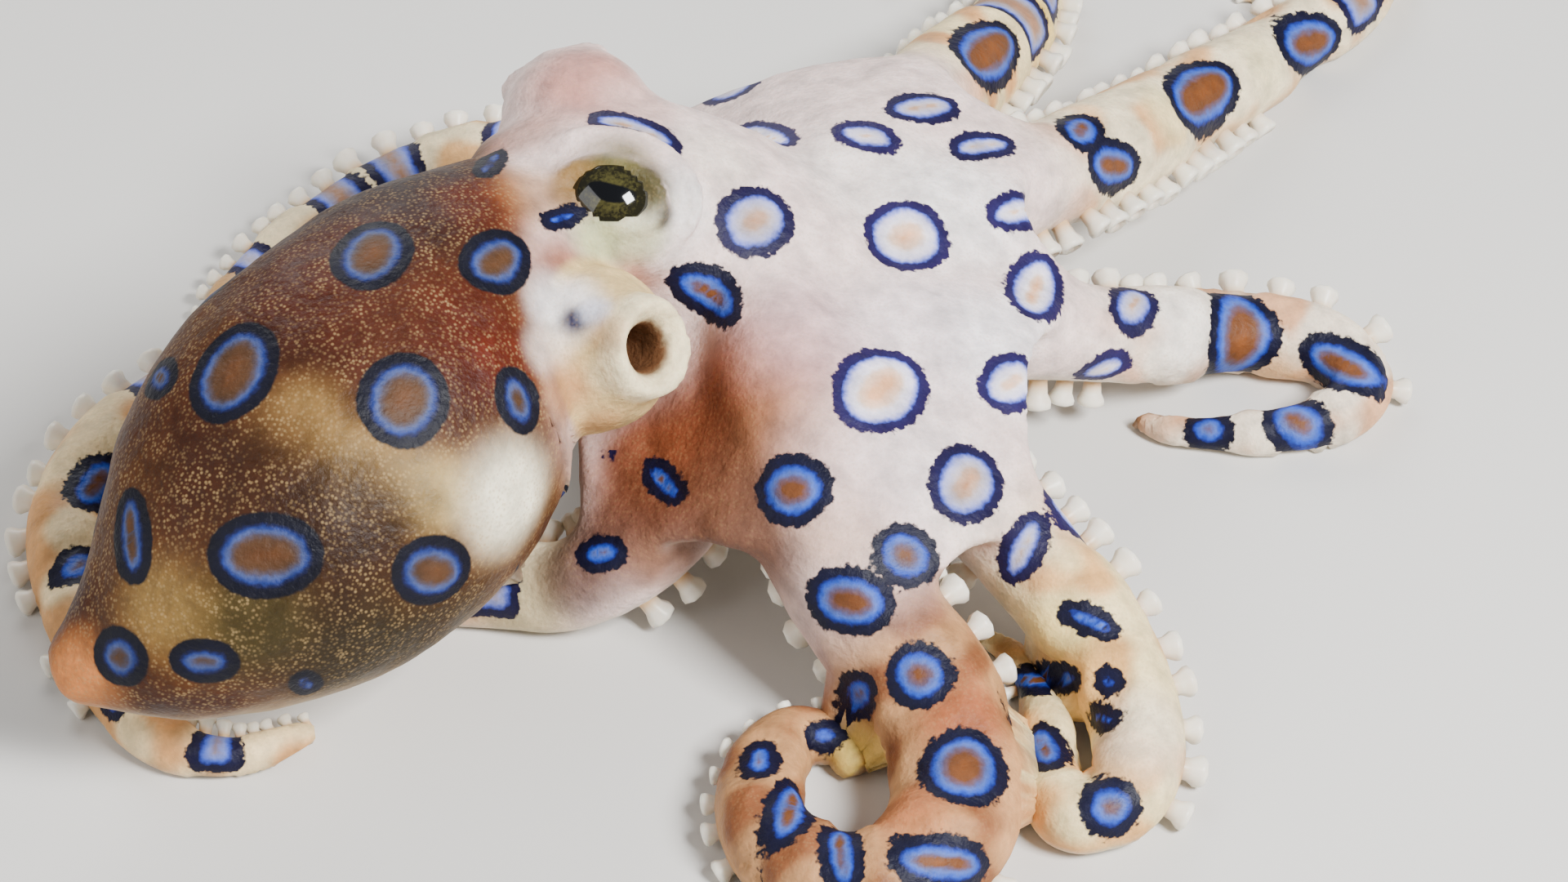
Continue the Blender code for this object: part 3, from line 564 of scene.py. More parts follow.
@dataclass
class Body:
    """The whole soft body: mantle, head, eye bumps, funnel, webs and arms, fused to one skin.

    Attributes:
        mantle: its sections, from the neck to the tip.
        head: its sections, from the neck out over the crown.
        mantle_roll: how far the mantle's sections lean over.
        neck: the middle of the mantle's opening.
        neck_aim: the way from there into the mantle.
        margin_rise: how far the mantle's free edge stands up.
        margin_at: how far past the neck it does.
        neck_sink: how deep the neck is before that edge.
        neck_at: how far before the neck it is deepest.
        neck_reach: how far from the neck's middle both are made.
        eye_opening: half the width and half the height of the almond between the lids.
        lid_curve: how round the almond is, 1 for a lozenge and 2 for an oval.
        lid_over: how far the lids lie over the ball.
        lid_thick: half the thickness of the lid fold.
        lid_out: how far the fold stands out of the bump's middle.
        lid_reach: how far round the ball the lids are drawn over it.
        brow_shape: the brow's width and height over its reach.
        brow_reach: how far it arches out from the eye's middle line.
        brow_out: how far it stands out of the bump's middle.
        brow_radius: half its thickness.
        brow_past: how far it goes on past the eye's corners, in radians.
        bump_radius: the radius of the bump that carries an eye.
        ball_radius: the eyeball's radius.
        ball_out: how far the ball stands out of the bump's middle.
        ball_sunk: how deep the skin lies inside the lids, over the ball's radius.
        funnel_bore: the radius of the funnel's opening.
        funnel_depth: how deep it goes.
        funnel_clear: how far round the funnel the neck isn't sunk.
        mouth_low: the height of the crown's lower side at the mouth.
        web_bulge: how far the web bulges up between two arms, over its width.
        web_scallop: how square its free edge's dip is, smaller for squarer.
        web_level: how high its top lies at an arm, over the arm's radius.
        web_edge: its thickness at the free edge.
        web_root: its thickness at the mouth.
        true_from: how far past the web an arm's exact taper starts and is reached.
        sole_flat: how much nearer the free arms' lower side is, over their radius.
        floor_gap: the least height of the skin over the floor.
        fold_end: how thick the brow is at its ends, over its middle.
        fold_size: the width of the skin's low folds.
        fold_height: their height.
        grain_size: the width of its grain.
        grain_height: the grain's height.
        still_below: the height under which the skin stays plain.
        coarse_voxel: the faces' size when the masses are fused.
        fine_voxel: the faces' size of the finished skin.
    """

    mantle: tuple[Station, ...] = (
        Station(-15.5, 5.5, 19.5, 6.5, 6.2),
        Station(-18.5, 1.6, 19.2, 8.6, 8.3),
        Station(-22.6, -3.8, 18.6, 11.0, 10.3),
        Station(-26.5, -11.0, 17.2, 13.2, 11.2),
        Station(-31.0, -16.6, 15.3, 12.6, 10.8),
        Station(-35.2, -20.6, 13.4, 10.4, 9.0),
        Station(-39.2, -23.4, 11.6, 7.2, 6.4),
        Station(-42.8, -25.0, 10.4, 4.0, 3.6),
        Station(-45.6, -26.0, 9.8, 1.8, 1.8),
    )
    head: tuple[Station, ...] = (
        Station(-17.0, 4.5, 19.6, 7.0, 6.6),
        Station(-12.6, 9.0, 18.8, 8.2, 7.4),
        Station(-8.0, 9.6, 17.4, 8.6, 7.2),
        Station(-2.0, 8.6, 15.0, 8.6, 6.6),
        Station(4.0, 7.4, 12.8, 7.0, 5.4),
        Station(8.0, 6.8, 11.4, 3.5, 3.0),
    )
    mantle_roll: float = math.radians(18)
    neck: Vector = Vector((-16.6, 1.0, 19.5))
    neck_aim: Vector = Vector((-0.95, -0.2, -0.12))
    margin_rise: float = 0.7
    margin_at: float = 0.9
    neck_sink: float = 1.0
    neck_at: float = 0.8
    neck_reach: float = 15.0
    right_eye: Vector = Vector((-11.2, 5.2, 21.5))
    right_aim: Vector = Vector((0.0, -0.60, 0.80))
    left_eye: Vector = Vector((-13.8, 14.4, 21.2))
    left_aim: Vector = Vector((-0.36, 0.86, 0.34))
    eye_roll: float = math.radians(-14)
    eye_opening: tuple[float, float] = (2.75, 1.7)
    lid_curve: float = 1.6
    lid_over: float = 0.22
    lid_thick: float = 0.62
    lid_out: float = 4.75
    lid_reach: float = 2.0
    brow_shape: tuple[float, float] = (1.12, 0.88)
    brow_reach: float = 4.9
    brow_out: float = 2.7
    brow_radius: float = 0.95
    brow_past: float = 0.25
    bump_radius: float = 5.6
    ball_radius: float = 3.7
    ball_out: float = 2.1
    ball_sunk: float = 0.8
    funnel_base: Vector = Vector((-15.2, -3.6, 17.2))
    funnel_aim: Vector = Vector((0.69, -0.535, 0.482))
    funnel_length: float = 10.4
    funnel_wide: float = 5.4
    funnel_narrow: float = 3.3
    funnel_bore: float = 1.5
    funnel_depth: float = 5.5
    funnel_clear: float = 0.8
    mouth_low: float = 6.2
    hub_radius: float = 7.0
    hub_shape: Point = (1.1, 1.1, 0.7)
    web_bulge: float = 0.10
    web_scallop: float = 0.8
    web_level: float = 0.93
    web_edge: float = 1.5
    web_root: float = 2.8
    true_from: tuple[float, float] = (1.5, 5.0)
    sole_flat: float = 0.10
    floor_gap: float = 0.03
    fold_end: float = 0.25
    fold_size: float = 3.4
    fold_height: float = 0.16
    grain_size: float = 1.3
    grain_height: float = 0.05
    still_below: float = 0.2
    body_step: float = 1.2
    body_sides: int = 48
    arm_step: float = 0.8
    arm_sides: int = 20
    coarse_voxel: float = 0.5
    coarse_smoothing: int = 14
    fine_voxel: float = 0.455
    fine_smoothing: int = 5

    def tapered(self, flesh: Flesh, stations: tuple[Station, ...], roll: float) -> None:
        """Adds a tapered body through its stations.

        Args:
            flesh: where the mass goes.
            stations: its sections.
            roll: how far the sections turn about the body's own line.
        """
        line = Line(tuple((s.x, s.y, s.z) for s in stations))
        spots = np.array([(s.x, s.y, s.z) for s in stations])
        along = [np.argmin(np.linalg.norm(line.spots - spot, axis=1)) * line.step for spot in spots]
        widths = Line(tuple((a, s.half_width, s.half_height) for a, s in zip(along, stations))).spots
        rings = []
        for distance in np.arange(0, line.length, self.body_step).tolist() + [line.length]:
            _, side, back = line.frame(distance)
            left = side * math.cos(roll) + back * math.sin(roll)
            over = back * math.cos(roll) - side * math.sin(roll)
            wide = np.interp(distance, widths[:, 0], widths[:, 1])
            high = np.interp(distance, widths[:, 0], widths[:, 2])
            rings.append([line.at(distance) + left * wide * math.cos(t) + over * high * math.sin(t)
                          for t in np.linspace(0, 2 * math.pi, self.body_sides, endpoint=False)])
        flesh.loft(rings)

    def arm_tube(self, flesh: Flesh, arm: Arm) -> None:
        """Adds one arm out to its tip."""
        rings = []
        for distance in np.arange(0, arm.line.length, self.arm_step).tolist() + [arm.line.length]:
            _, side, back = arm.line.frame(distance)
            radius = float(arm.radius(distance))
            rings.append([arm.line.at(distance) + (side * math.cos(t) + back * math.sin(t)) * radius
                          for t in np.linspace(0, 2 * math.pi, self.arm_sides, endpoint=False)])
        flesh.loft(rings)

    def web(self, flesh: Flesh, arm: Arm, neighbour: Arm) -> None:
        """Adds the web between two arms, level with their backs, its free edge dipping in.

        Args:
            flesh: where the web goes.
            arm: the arm that it starts from.
            neighbour: the next arm round the mouth.
        """
        across, out = 24, 30
        grid_top, grid_under = [], []
        for i in range(across + 1):
            s = i / across
            dip = arm.web_dip * math.sin(math.pi * s) ** self.web_scallop
            top, under = [], []
            for j in range(out + 1):
                t = j / out
                here, there = (arm.web_end - dip) * t, (neighbour.web_end - dip) * t
                a, b = arm.line.at(here), neighbour.line.at(there)
                back = arm.line.frame(here)[2].lerp(neighbour.line.frame(there)[2], s).normalized()
                radius = float(arm.radius(here) * (1 - s) + neighbour.radius(there) * s)
                bulge = self.web_bulge * (a - b).length * math.sin(math.pi * s)
                upper = a.lerp(b, s) + back * (radius * self.web_level + bulge)
                top.append(upper)
                under.append(upper - back * (self.web_edge + (self.web_root - self.web_edge) * (1 - t)))
            grid_top.append(top)
            grid_under.append(under)
        flesh.loft([top + under[::-1] for top, under in zip(grid_top, grid_under)])

    def fold(self, flesh: Flesh, centre: Vector, points: list[Vector], radius: float) -> None:
        """Adds a rounded fold of skin along a few points.

        Args:
            flesh: where the fold goes.
            centre: the point that the fold goes round.
            points: places that the fold passes through.
            radius: half its thickness in the middle.
        """
        line = Line(tuple(tuple(point) for point in points))
        rings = []
        for distance in np.linspace(0, line.length, 40):
            ahead = line.frame(distance)[0]
            out = (line.at(distance) - centre).normalized()
            side = ahead.cross(out).normalized()
            swollen = math.sin(math.pi * distance / line.length) ** 0.6
            thick = radius * (self.fold_end + (1 - self.fold_end) * swollen)
            rings.append([line.at(distance) + (side * math.cos(t) + out * math.sin(t)) * thick
                          for t in np.linspace(0, 2 * math.pi, 12, endpoint=False)])
        flesh.loft(rings)

    def build(self) -> bpy.types.Object:
        """Fuses the body in two goes: its masses first, then the lids, funnel and lips on them.

        Returns:
            The skin, still in millimetres.
        """
        flesh = Flesh()
        self.tapered(flesh, self.mantle, self.mantle_roll)
        self.tapered(flesh, self.head, 0.0)
        flesh.ball(self.right_eye, self.bump_radius)
        flesh.ball(self.left_eye, self.bump_radius)
        flesh.ball(HUB, self.hub_radius, self.hub_shape)
        for arm, neighbour in zip(ARMS, ARMS[1:] + ARMS[:1]):
            self.arm_tube(flesh, arm)
            self.web(flesh, arm, neighbour)
        masses = flesh.fused("masses", self.coarse_voxel, self.coarse_smoothing)
        flesh = Flesh()
        flesh.shape.from_mesh(masses.data)
        bpy.data.objects.remove(masses, do_unlink=True)
        self.lids(flesh, self.right_eye, self.right_aim)
        self.lids(flesh, self.left_eye, self.left_aim)
        self.hood(flesh, self.right_eye, self.right_aim)
        self.funnel(flesh)
        self.lips(flesh)
        skin = flesh.fused("skin", self.fine_voxel, self.fine_smoothing)
        self.keep_largest(skin)
        self.true_arms(skin)
        self.margin(skin)
        self.open_eyes(skin)
        self.wrinkle(skin)
        return skin

    def lids(self, flesh: Flesh, eye: Vector, aim: Vector) -> None:
        """Adds the almond-shaped lid fold round an eye's opening.

        Args:
            flesh: where the fold goes.
            eye: the middle of the eye's bump.
            aim: the direction that it looks in.
        """
        wide, tall = self.eye_opening
        thick = self.lid_thick
        rounder = 0.06
        ring = [(wide + thick + thick * math.cos(t), self.lid_out + thick * math.sin(t))
                for t in np.linspace(0, 2 * math.pi, 10, endpoint=False)]
        flesh.ring(Matrix.Translation(eye) @ eye_turn(aim, self.eye_roll), ring, tall / wide + rounder)

    def hood(self, flesh: Flesh, eye: Vector, aim: Vector) -> None:
        """Adds the brow that arches over an eye, from one corner to the other.

        Args:
            flesh: where the brow goes.
            eye: the middle of the eye's bump.
            aim: the direction that it looks in.
        """
        over = eye_turn(aim, self.eye_roll)
        wide, tall = self.brow_shape
        arch = []
        for turn in np.linspace(-self.brow_past, math.pi + self.brow_past, 9):
            out = over @ Vector((math.cos(turn) * wide, math.sin(turn) * tall, 0))
            arch.append(eye + out * self.brow_reach + aim.normalized() * self.brow_out)
        self.fold(flesh, eye, arch, self.brow_radius)

    def funnel(self, flesh: Flesh) -> None:
        """Adds the funnel with its rolled rim and open bore."""
        base, tip, long, bore = self.funnel_wide, self.funnel_narrow, self.funnel_length, self.funnel_bore
        profile = [(0.3, 0), (base * 0.75, 0), (base, 0.16 * long), (base * 1.02, 0.36 * long),
                   (base * 0.96, 0.58 * long), (tip * 1.1, 0.78 * long), (tip * 1.03, 0.9 * long),
                   (tip, 0.96 * long), (tip * 0.93, long), (tip * 0.84, long * 1.005),
                   (tip * 0.74, 0.98 * long), (bore + 0.6, 0.935 * long), (bore + 0.15, 0.91 * long),
                   (bore, 0.87 * long), (bore * 0.95, long - self.funnel_depth),
                   (0.2, long - self.funnel_depth)]
        flesh.turned(self.funnel_base, self.funnel_aim, profile)

    def lips(self, flesh: Flesh) -> None:
        """Adds the round lip under the crown."""
        middle, wide, high, up = 2.1, 0.8, 0.9, 1.0
        lip = [(middle + wide * math.cos(t), self.mouth_low + up + high * math.sin(t))
               for t in np.linspace(0, 6.28, 12)[:-1]]
        flesh.ring(Matrix.Translation((HUB.x, HUB.y, 0)), lip)

    def keep_largest(self, skin: bpy.types.Object) -> None:
        """Drops all but the skin's largest closed surface."""
        shape = bmesh.new()
        shape.from_mesh(skin.data)
        shape.verts.ensure_lookup_table()
        seen: set[int] = set()
        groups = []
        for start in shape.verts:
            if start.index in seen:
                continue
            group, waiting = {start.index}, [start]
            while waiting:
                for edge in waiting.pop().link_edges:
                    for vert in edge.verts:
                        if vert.index not in group:
                            group.add(vert.index)
                            waiting.append(vert)
            seen |= group
            groups.append(group)
        largest = max(groups, key=len)
        bmesh.ops.delete(shape, geom=[v for v in shape.verts if v.index not in largest], context="VERTS")
        shape.to_mesh(skin.data)
        shape.free()

    def true_arms(self, skin: bpy.types.Object) -> None:
        """Brings the free arms back to their exact taper, a little flat below, and none under the floor."""
        places = corners_of(skin)
        reading = ArmReading.of(places)
        for index, arm in enumerate(ARMS):
            start, end = (arm.web_end + past for past in self.true_from)
            share = smooth(start, end, reading.along) * (reading.arm == index)
            share *= reading.out < 3 * arm.radius(reading.along)
            radius = arm.radius(reading.along)
            radius = radius * (1 - self.sole_flat * smooth(0.6, 1.0, -np.cos(reading.turn)))
            past = np.clip(reading.along - (arm.line.length - radius), 0, None)
            radius = np.sqrt(np.clip(radius ** 2 - past ** 2, 0.01, None))
            target = reading.middle + reading.spoke * radius[:, None]
            places = places + (target - places) * share[:, None]
        places[:, 2] = np.maximum(places[:, 2], self.floor_gap)
        set_corners(skin, places)

    def margin(self, skin: bpy.types.Object) -> None:
        """Raises the mantle's free front edge and sinks the neck before it, all but along the back."""
        places = corners_of(skin)
        aim = np.array(self.neck_aim.normalized())
        away = places - np.array(self.neck)
        past = self.past_neck(places)
        off = away - past[:, None] * aim
        off /= np.maximum(np.linalg.norm(off, axis=1), 1e-6)[:, None]
        free = smooth(0.55, -0.1, off[:, 2]) * (np.linalg.norm(away, axis=1) < self.neck_reach)
        clear = self.by_funnel(places)[1] >= self.funnel_wide + self.funnel_clear
        raised = self.margin_rise * np.exp(-((past - self.margin_at) / self.margin_at) ** 2)
        sunk = self.neck_sink * np.exp(-((past + self.neck_at) / self.neck_at) ** 2) * clear
        set_corners(skin, places + off * ((raised - sunk) * free)[:, None])

    def past_neck(self, places: np.ndarray) -> np.ndarray:
        """How far places lie past the neck, on the mantle's side of it."""
        return (places - np.array(self.neck)) @ np.array(self.neck_aim.normalized())

    def by_funnel(self, places: np.ndarray) -> tuple[np.ndarray, np.ndarray]:
        """Where places lie along the funnel's axis and how far they are from it."""
        aim = np.array(self.funnel_aim.normalized())
        away = places - np.array(self.funnel_base)
        along = away @ aim
        return along, np.linalg.norm(away - along[:, None] * aim, axis=1)

    def open_eyes(self, skin: bpy.types.Object) -> None:
        """Draws the lids over each ball and sinks the skin inside their almond opening."""
        places = corners_of(skin)
        for eye, aim in ((self.right_eye, self.right_aim), (self.left_eye, self.left_aim)):
            turn = np.array(eye_turn(aim, self.eye_roll))[:3, :3]
            middle = np.array(eye + aim.normalized() * self.ball_out)
            out = places - middle
            own = out @ turn
            apart = np.linalg.norm(out, axis=1)
            front = (own[:, 2] > 0) & (apart < self.ball_radius + self.lid_reach)
            wide, tall = self.eye_opening
            pointed = ((np.abs(own[:, 0]) / wide) ** self.lid_curve
                       + (np.abs(own[:, 1]) / tall) ** self.lid_curve)
            over = front & (pointed >= 1) & (apart < self.ball_radius + self.lid_over)
            places[over] = middle + out[over] / apart[over][:, None] * (self.ball_radius + self.lid_over)
            inside = front & (pointed < 1)
            sunk = self.ball_radius * self.ball_sunk
            places[inside] = middle + out[inside] / apart[inside][:, None] * sunk
        set_corners(skin, places)

    def wrinkle(self, skin: bpy.types.Object) -> None:
        """Gives the skin its low folds and grain, finer and lower on the arms."""
        places = corners_of(skin)
        free = ArmReading.of(places).free(20, 30, 6)
        folds = noise_at(places, self.fold_size) * self.fold_height * (1 - free)
        height = folds + noise_at(places, self.grain_size, 7.0) * self.grain_height
        lift = corners_of(skin, "normal") * height[:, None]
        lift[places[:, 2] < self.still_below] = 0
        set_corners(skin, places + lift)


@dataclass
class ArmReading:
    """Where each place lies by the nearest arm's line.

    Attributes:
        arm: the arm's number in ARMS.
        along: the distance along it.
        out: the distance from its middle line.
        turn: the angle round it, 0 on the back and half a turn on the sucker side.
        middle: the nearest point of the middle line.
        spoke: the unit direction from there to the place, square to the line.
    """

    arm: np.ndarray
    along: np.ndarray
    out: np.ndarray
    turn: np.ndarray
    middle: np.ndarray
    spoke: np.ndarray

    @classmethod
    def of(cls, places: np.ndarray) -> "ArmReading":
        """Reads every place.

        Args:
            places: rows of x, y and z.

        Returns:
            The reading, one row for each place.
        """
        spots = [(number, step * arm.line.step, spot) for number, arm in enumerate(ARMS)
                 for step, spot in enumerate(arm.line.spots)]
        tree = KDTree(len(spots))
        for index, (_, _, spot) in enumerate(spots):
            tree.insert(spot, index)
        tree.balance()
        near = np.array([tree.find(place)[1] for place in places])
        number = np.array([spot[0] for spot in spots])
        length = np.array([spot[1] for spot in spots])
        middle = np.array([spot[2] for spot in spots])
        frames = [ARMS[spot[0]].line.frame(spot[1]) for spot in spots]
        ahead, side, back = (np.array([f[k] for f in frames])[near] for k in range(3))
        away = places - middle[near]
        shift = dots(away, ahead)
        away = away - ahead * shift[:, None]
        out = np.linalg.norm(away, axis=1)
        turn = np.arctan2(dots(away, side), dots(away, back))
        spoke = away / np.maximum(out, 1e-6)[:, None]
        nearest = middle[near] + ahead * shift[:, None]
        return cls(number[near], length[near] + shift, out, turn, nearest, spoke)

    def free(self, start: float, end: float, reach: float) -> np.ndarray:
        """How surely each place lies on an arm's free length.

        Args:
            start: the distance along the arm up to which it doesn't.
            end: the distance from which it does.
            reach: how near the arm's middle line it has to be.

        Returns:
            A share from 0 to 1 for each place.
        """
        return smooth(start, end, self.along) * (self.out < reach)


class Tone(Enum):
    """How a ring is filled: its share of white flesh inside against golden brown."""

    GOLD = 0.0
    PEACH = 0.5
    WHITE = 1.0


@dataclass(frozen=True)
class Ring:
    """One ring of the visible side, as the photo shows it.

    Attributes:
        across: its middle's pixel from the left.
        down: its middle's pixel from the top.
        wide: its width in pixels, across its outline's middle.
        tall: its height in pixels.
        turn: how far it is turned to the left, in degrees.
        tone: what fills it.
    """

    across: float
    down: float
    wide: float
    tall: float
    turn: float = 0.0
    tone: Tone = Tone.GOLD


RINGS = (
    # The mantle
    Ring(285, 455, 84, 122, -32), Ring(495, 490, 98, 104), Ring(530, 700, 84, 74, 15),
    Ring(455, 310, 92, 78, 30), Ring(610, 320, 72, 72), Ring(635, 490, 36, 70, 15),
    Ring(690, 605, 16, 36, 0, Tone.PEACH), Ring(325, 680, 130, 92), Ring(160, 655, 44, 104, 4),
    Ring(145, 805, 56, 66, 35), Ring(250, 810, 74, 44), Ring(375, 838, 26, 22),
    # The head
    Ring(868, 358, 90, 50, -30), Ring(925, 270, 86, 76, 0, Tone.PEACH),
    Ring(778, 157, 112, 24, -16, Tone.PEACH), Ring(600, 200, 22, 44, -20), Ring(688, 267, 40, 20, 18),
    # The crown
    Ring(1110, 290, 98, 84, -5, Tone.WHITE), Ring(1080, 475, 106, 98, 10, Tone.WHITE),
    Ring(1250, 257, 66, 40, 0, Tone.WHITE), Ring(1060, 166, 74, 32, -10, Tone.WHITE),
    Ring(1130, 131, 84, 36, 5, Tone.PEACH), Ring(1204, 178, 74, 30, 5, Tone.PEACH),
    Ring(935, 165, 74, 28, -12, Tone.WHITE), Ring(1266, 357, 68, 66, 0, Tone.WHITE),
    Ring(1240, 467, 76, 60, 10, Tone.WHITE), Ring(970, 600, 84, 76, 10),
    Ring(815, 592, 30, 58, 42), Ring(1185, 590, 80, 84, 10, Tone.PEACH),
    Ring(1253, 672, 42, 84, -25, Tone.PEACH), Ring(1108, 680, 74, 66, -35),
    # The front arms
    Ring(1040, 736, 96, 74, -10), Ring(735, 677, 54, 36, 10), Ring(1126, 826, 74, 68),
    Ring(1050, 852, 44, 52), Ring(1180, 938, 98, 78), Ring(1156, 1056, 118, 58, -8),
    Ring(1030, 1042, 44, 78, 8), Ring(969, 988, 52, 54), Ring(930, 930, 40, 36), Ring(1010, 900, 40, 28),
    Ring(1284, 832, 54, 30, 22), Ring(1356, 834, 24, 26), Ring(1349, 880, 26, 22), Ring(1278, 914, 44, 44),
    Ring(1362, 988, 66, 62), Ring(1335, 760, 70, 26, -25),
    # The right arm
    Ring(1388, 372, 56, 54, 0, Tone.PEACH), Ring(1352, 452, 62, 24, 22, Tone.WHITE),
    Ring(1522, 412, 80, 112, -8), Ring(1645, 448, 88, 58, -28), Ring(1590, 517, 78, 60, -25),
    Ring(1480, 526, 50, 44),
    # The far arms
    Ring(1324, 158, 54, 40, -20), Ring(1364, 203, 58, 58, 20), Ring(1474, 113, 96, 82, 35),
    Ring(1606, 52, 80, 66, 25), Ring(1212, 62, 78, 84, -20),
    # The arms behind the mantle
    Ring(118, 592, 52, 62, -15), Ring(96, 692, 54, 36, 15), Ring(196, 462, 34, 44, -30),
)


@dataclass(frozen=True)
class ColourAndLightTouch:
    """One soft touch of paint on the skin's visible side; some touches give the skin's own colour, others
    painted shade and painted highlights.

    Attributes:
        across: its middle's pixel from the left.
        down: its middle's pixel from the top.
        reach: how far it spreads over the skin, in millimetres.
        colour: its colour, as sRGB hex.
        strength: how much of it is laid on.
    """

    across: float
    down: float
    reach: float
    colour: str
    strength: float


MANTLE_TINTS_SHADE_AND_HIGHLIGHT = (
    ColourAndLightTouch(520, 235, 10, "5e3421", 0.9), ColourAndLightTouch(430, 280, 8, "5c3a24", 0.75),
    ColourAndLightTouch(560, 430, 6, "6b3a22", 0.8), ColourAndLightTouch(400, 320, 9, "82502f", 0.8),
    ColourAndLightTouch(585, 400, 7.5, "8c5232", 0.8), ColourAndLightTouch(470, 400, 6, "87583a", 0.6),
    ColourAndLightTouch(210, 500, 8, "7e5636", 0.75), ColourAndLightTouch(170, 600, 5, "8c6a42", 0.6),
    ColourAndLightTouch(370, 520, 5, "c4ae82", 0.75), ColourAndLightTouch(450, 575, 4.5, "cdb98e", 0.8),
    ColourAndLightTouch(530, 605, 4.5, "d8c8a0", 0.8), ColourAndLightTouch(300, 590, 7, "694828", 0.75),
    # (625, 610): painted highlight, near-white cream where the light falls on the mantle's side.
    ColourAndLightTouch(430, 650, 7, "5f4526", 0.8), ColourAndLightTouch(625, 610, 6, "fbf6e6", 1.0),
    ColourAndLightTouch(660, 680, 4.5, "e9dcb6", 0.85), ColourAndLightTouch(640, 750, 5, "c9bc92", 0.8),
    # (540, 770), (440, 800) and (310, 765): painted shade, dark olive along the mantle's lower edge.
    ColourAndLightTouch(540, 770, 6, "6a5c38", 0.75), ColourAndLightTouch(440, 800, 7, "5c5434", 0.8),
    ColourAndLightTouch(310, 765, 6, "7b7450", 0.8), ColourAndLightTouch(200, 745, 5, "bda97c", 0.75),
    ColourAndLightTouch(90, 828, 4.5, "e2b080", 0.95), ColourAndLightTouch(620, 440, 4, "96542e", 0.6),
)
HEAD_TINTS_AND_HIGHLIGHT = (
    ColourAndLightTouch(590, 250, 5, "8e5636", 0.8), ColourAndLightTouch(650, 235, 4.5, "b08258", 0.7),
    ColourAndLightTouch(640, 165, 4, "b08070", 0.7), ColourAndLightTouch(720, 95, 7, "bb7e70", 0.85),
    ColourAndLightTouch(780, 130, 4, "e0bcb4", 0.8), ColourAndLightTouch(700, 335, 4.5, "9a5636", 0.85),
    # (845, 250), (880, 190) and (820, 310): pale skin right of the eye's bump, whitened further as painted
    # highlight on the side that the light falls on.
    ColourAndLightTouch(780, 335, 4, "b0704e", 0.75), ColourAndLightTouch(845, 250, 4, "f4ece8", 0.95),
    ColourAndLightTouch(880, 190, 4.5, "ecdcd0", 0.8), ColourAndLightTouch(820, 310, 2.6, "f0e2dc", 0.8),
)
CROWN_TINTS_AND_SHADE = (
    # (900, 480) to (990, 830): painted shade, deep rust browns for the shadow under the funnel and round the
    # front arms' roots, on skin that is partly brown itself. The last three are the crown's own pale pinks.
    ColourAndLightTouch(900, 480, 9.5, "9a4e2e", 0.95), ColourAndLightTouch(860, 560, 9, "743f28", 0.95),
    ColourAndLightTouch(950, 440, 5, "b07050", 0.7), ColourAndLightTouch(960, 530, 5.5, "a87454", 0.75),
    ColourAndLightTouch(790, 560, 6.5, "86492c", 0.95), ColourAndLightTouch(900, 660, 8.5, "744a34", 0.95),
    ColourAndLightTouch(770, 640, 7, "74442e", 0.9), ColourAndLightTouch(820, 690, 4, "94684f", 0.7),
    ColourAndLightTouch(700, 700, 5, "5e3a2c", 0.8), ColourAndLightTouch(930, 770, 7, "6c4834", 0.9),
    ColourAndLightTouch(990, 830, 5, "7c5638", 0.8), ColourAndLightTouch(1030, 640, 5, "c49c84", 0.6),
    ColourAndLightTouch(1000, 400, 8, "d4b0b2", 0.7), ColourAndLightTouch(1050, 560, 7, "dcc0bc", 0.6),
)
EYELID_TOUCHES = (
    ColourAndLightTouch(755, 205, 4.2, "66602a", 0.95), ColourAndLightTouch(800, 232, 3.0, "4c4620", 0.95),
    ColourAndLightTouch(706, 215, 2.4, "8a6a2c", 0.9), ColourAndLightTouch(735, 292, 3.4, "b9bd8a", 0.9),
    ColourAndLightTouch(790, 290, 2.8, "ced0ac", 0.85), ColourAndLightTouch(700, 240, 2.6, "8c6a3a", 0.8),
    ColourAndLightTouch(816, 266, 1.5, "2c2a1c", 0.9),
)
# The crown's pale pinks, whitened further as painted highlight where the light falls on it.
WEB_TINTS_AND_HIGHLIGHT = (
    ColourAndLightTouch(1150, 400, 9, "efdfe2", 0.8), ColourAndLightTouch(1250, 420, 8, "f6eef0", 0.85),
    ColourAndLightTouch(1060, 215, 8, "f2e6e0", 0.8), ColourAndLightTouch(1180, 250, 8, "f7f0ee", 0.85),
    ColourAndLightTouch(1140, 560, 7, "eedfdf", 0.7), ColourAndLightTouch(1210, 640, 5, "eedccf", 0.7),
)
ARM_TINTS_AND_HIGHLIGHT = (
    ColourAndLightTouch(1180, 880, 4.5, "98502e", 0.85), ColourAndLightTouch(1120, 1000, 4, "c07a4c", 0.7),
    ColourAndLightTouch(1240, 1000, 4, "d8a070", 0.8), ColourAndLightTouch(1300, 780, 3.6, "f0d68a", 0.8),
    ColourAndLightTouch(1330, 850, 4, "e8b870", 0.8), ColourAndLightTouch(1400, 900, 5, "eadbc4", 0.7),
    ColourAndLightTouch(1450, 400, 5, "f4ece4", 0.8), ColourAndLightTouch(1560, 455, 3.5, "e6b072", 0.8),
    ColourAndLightTouch(1430, 140, 4, "f0dfa8", 0.8), ColourAndLightTouch(1545, 80, 3.5, "f0e2b4", 0.8),
    # (1060, 925): painted highlight, yellow where the light falls on the third right arm's coil.
    ColourAndLightTouch(1270, 20, 5, "ecc860", 0.8), ColourAndLightTouch(1060, 925, 3.5, "ead070", 0.8),
)
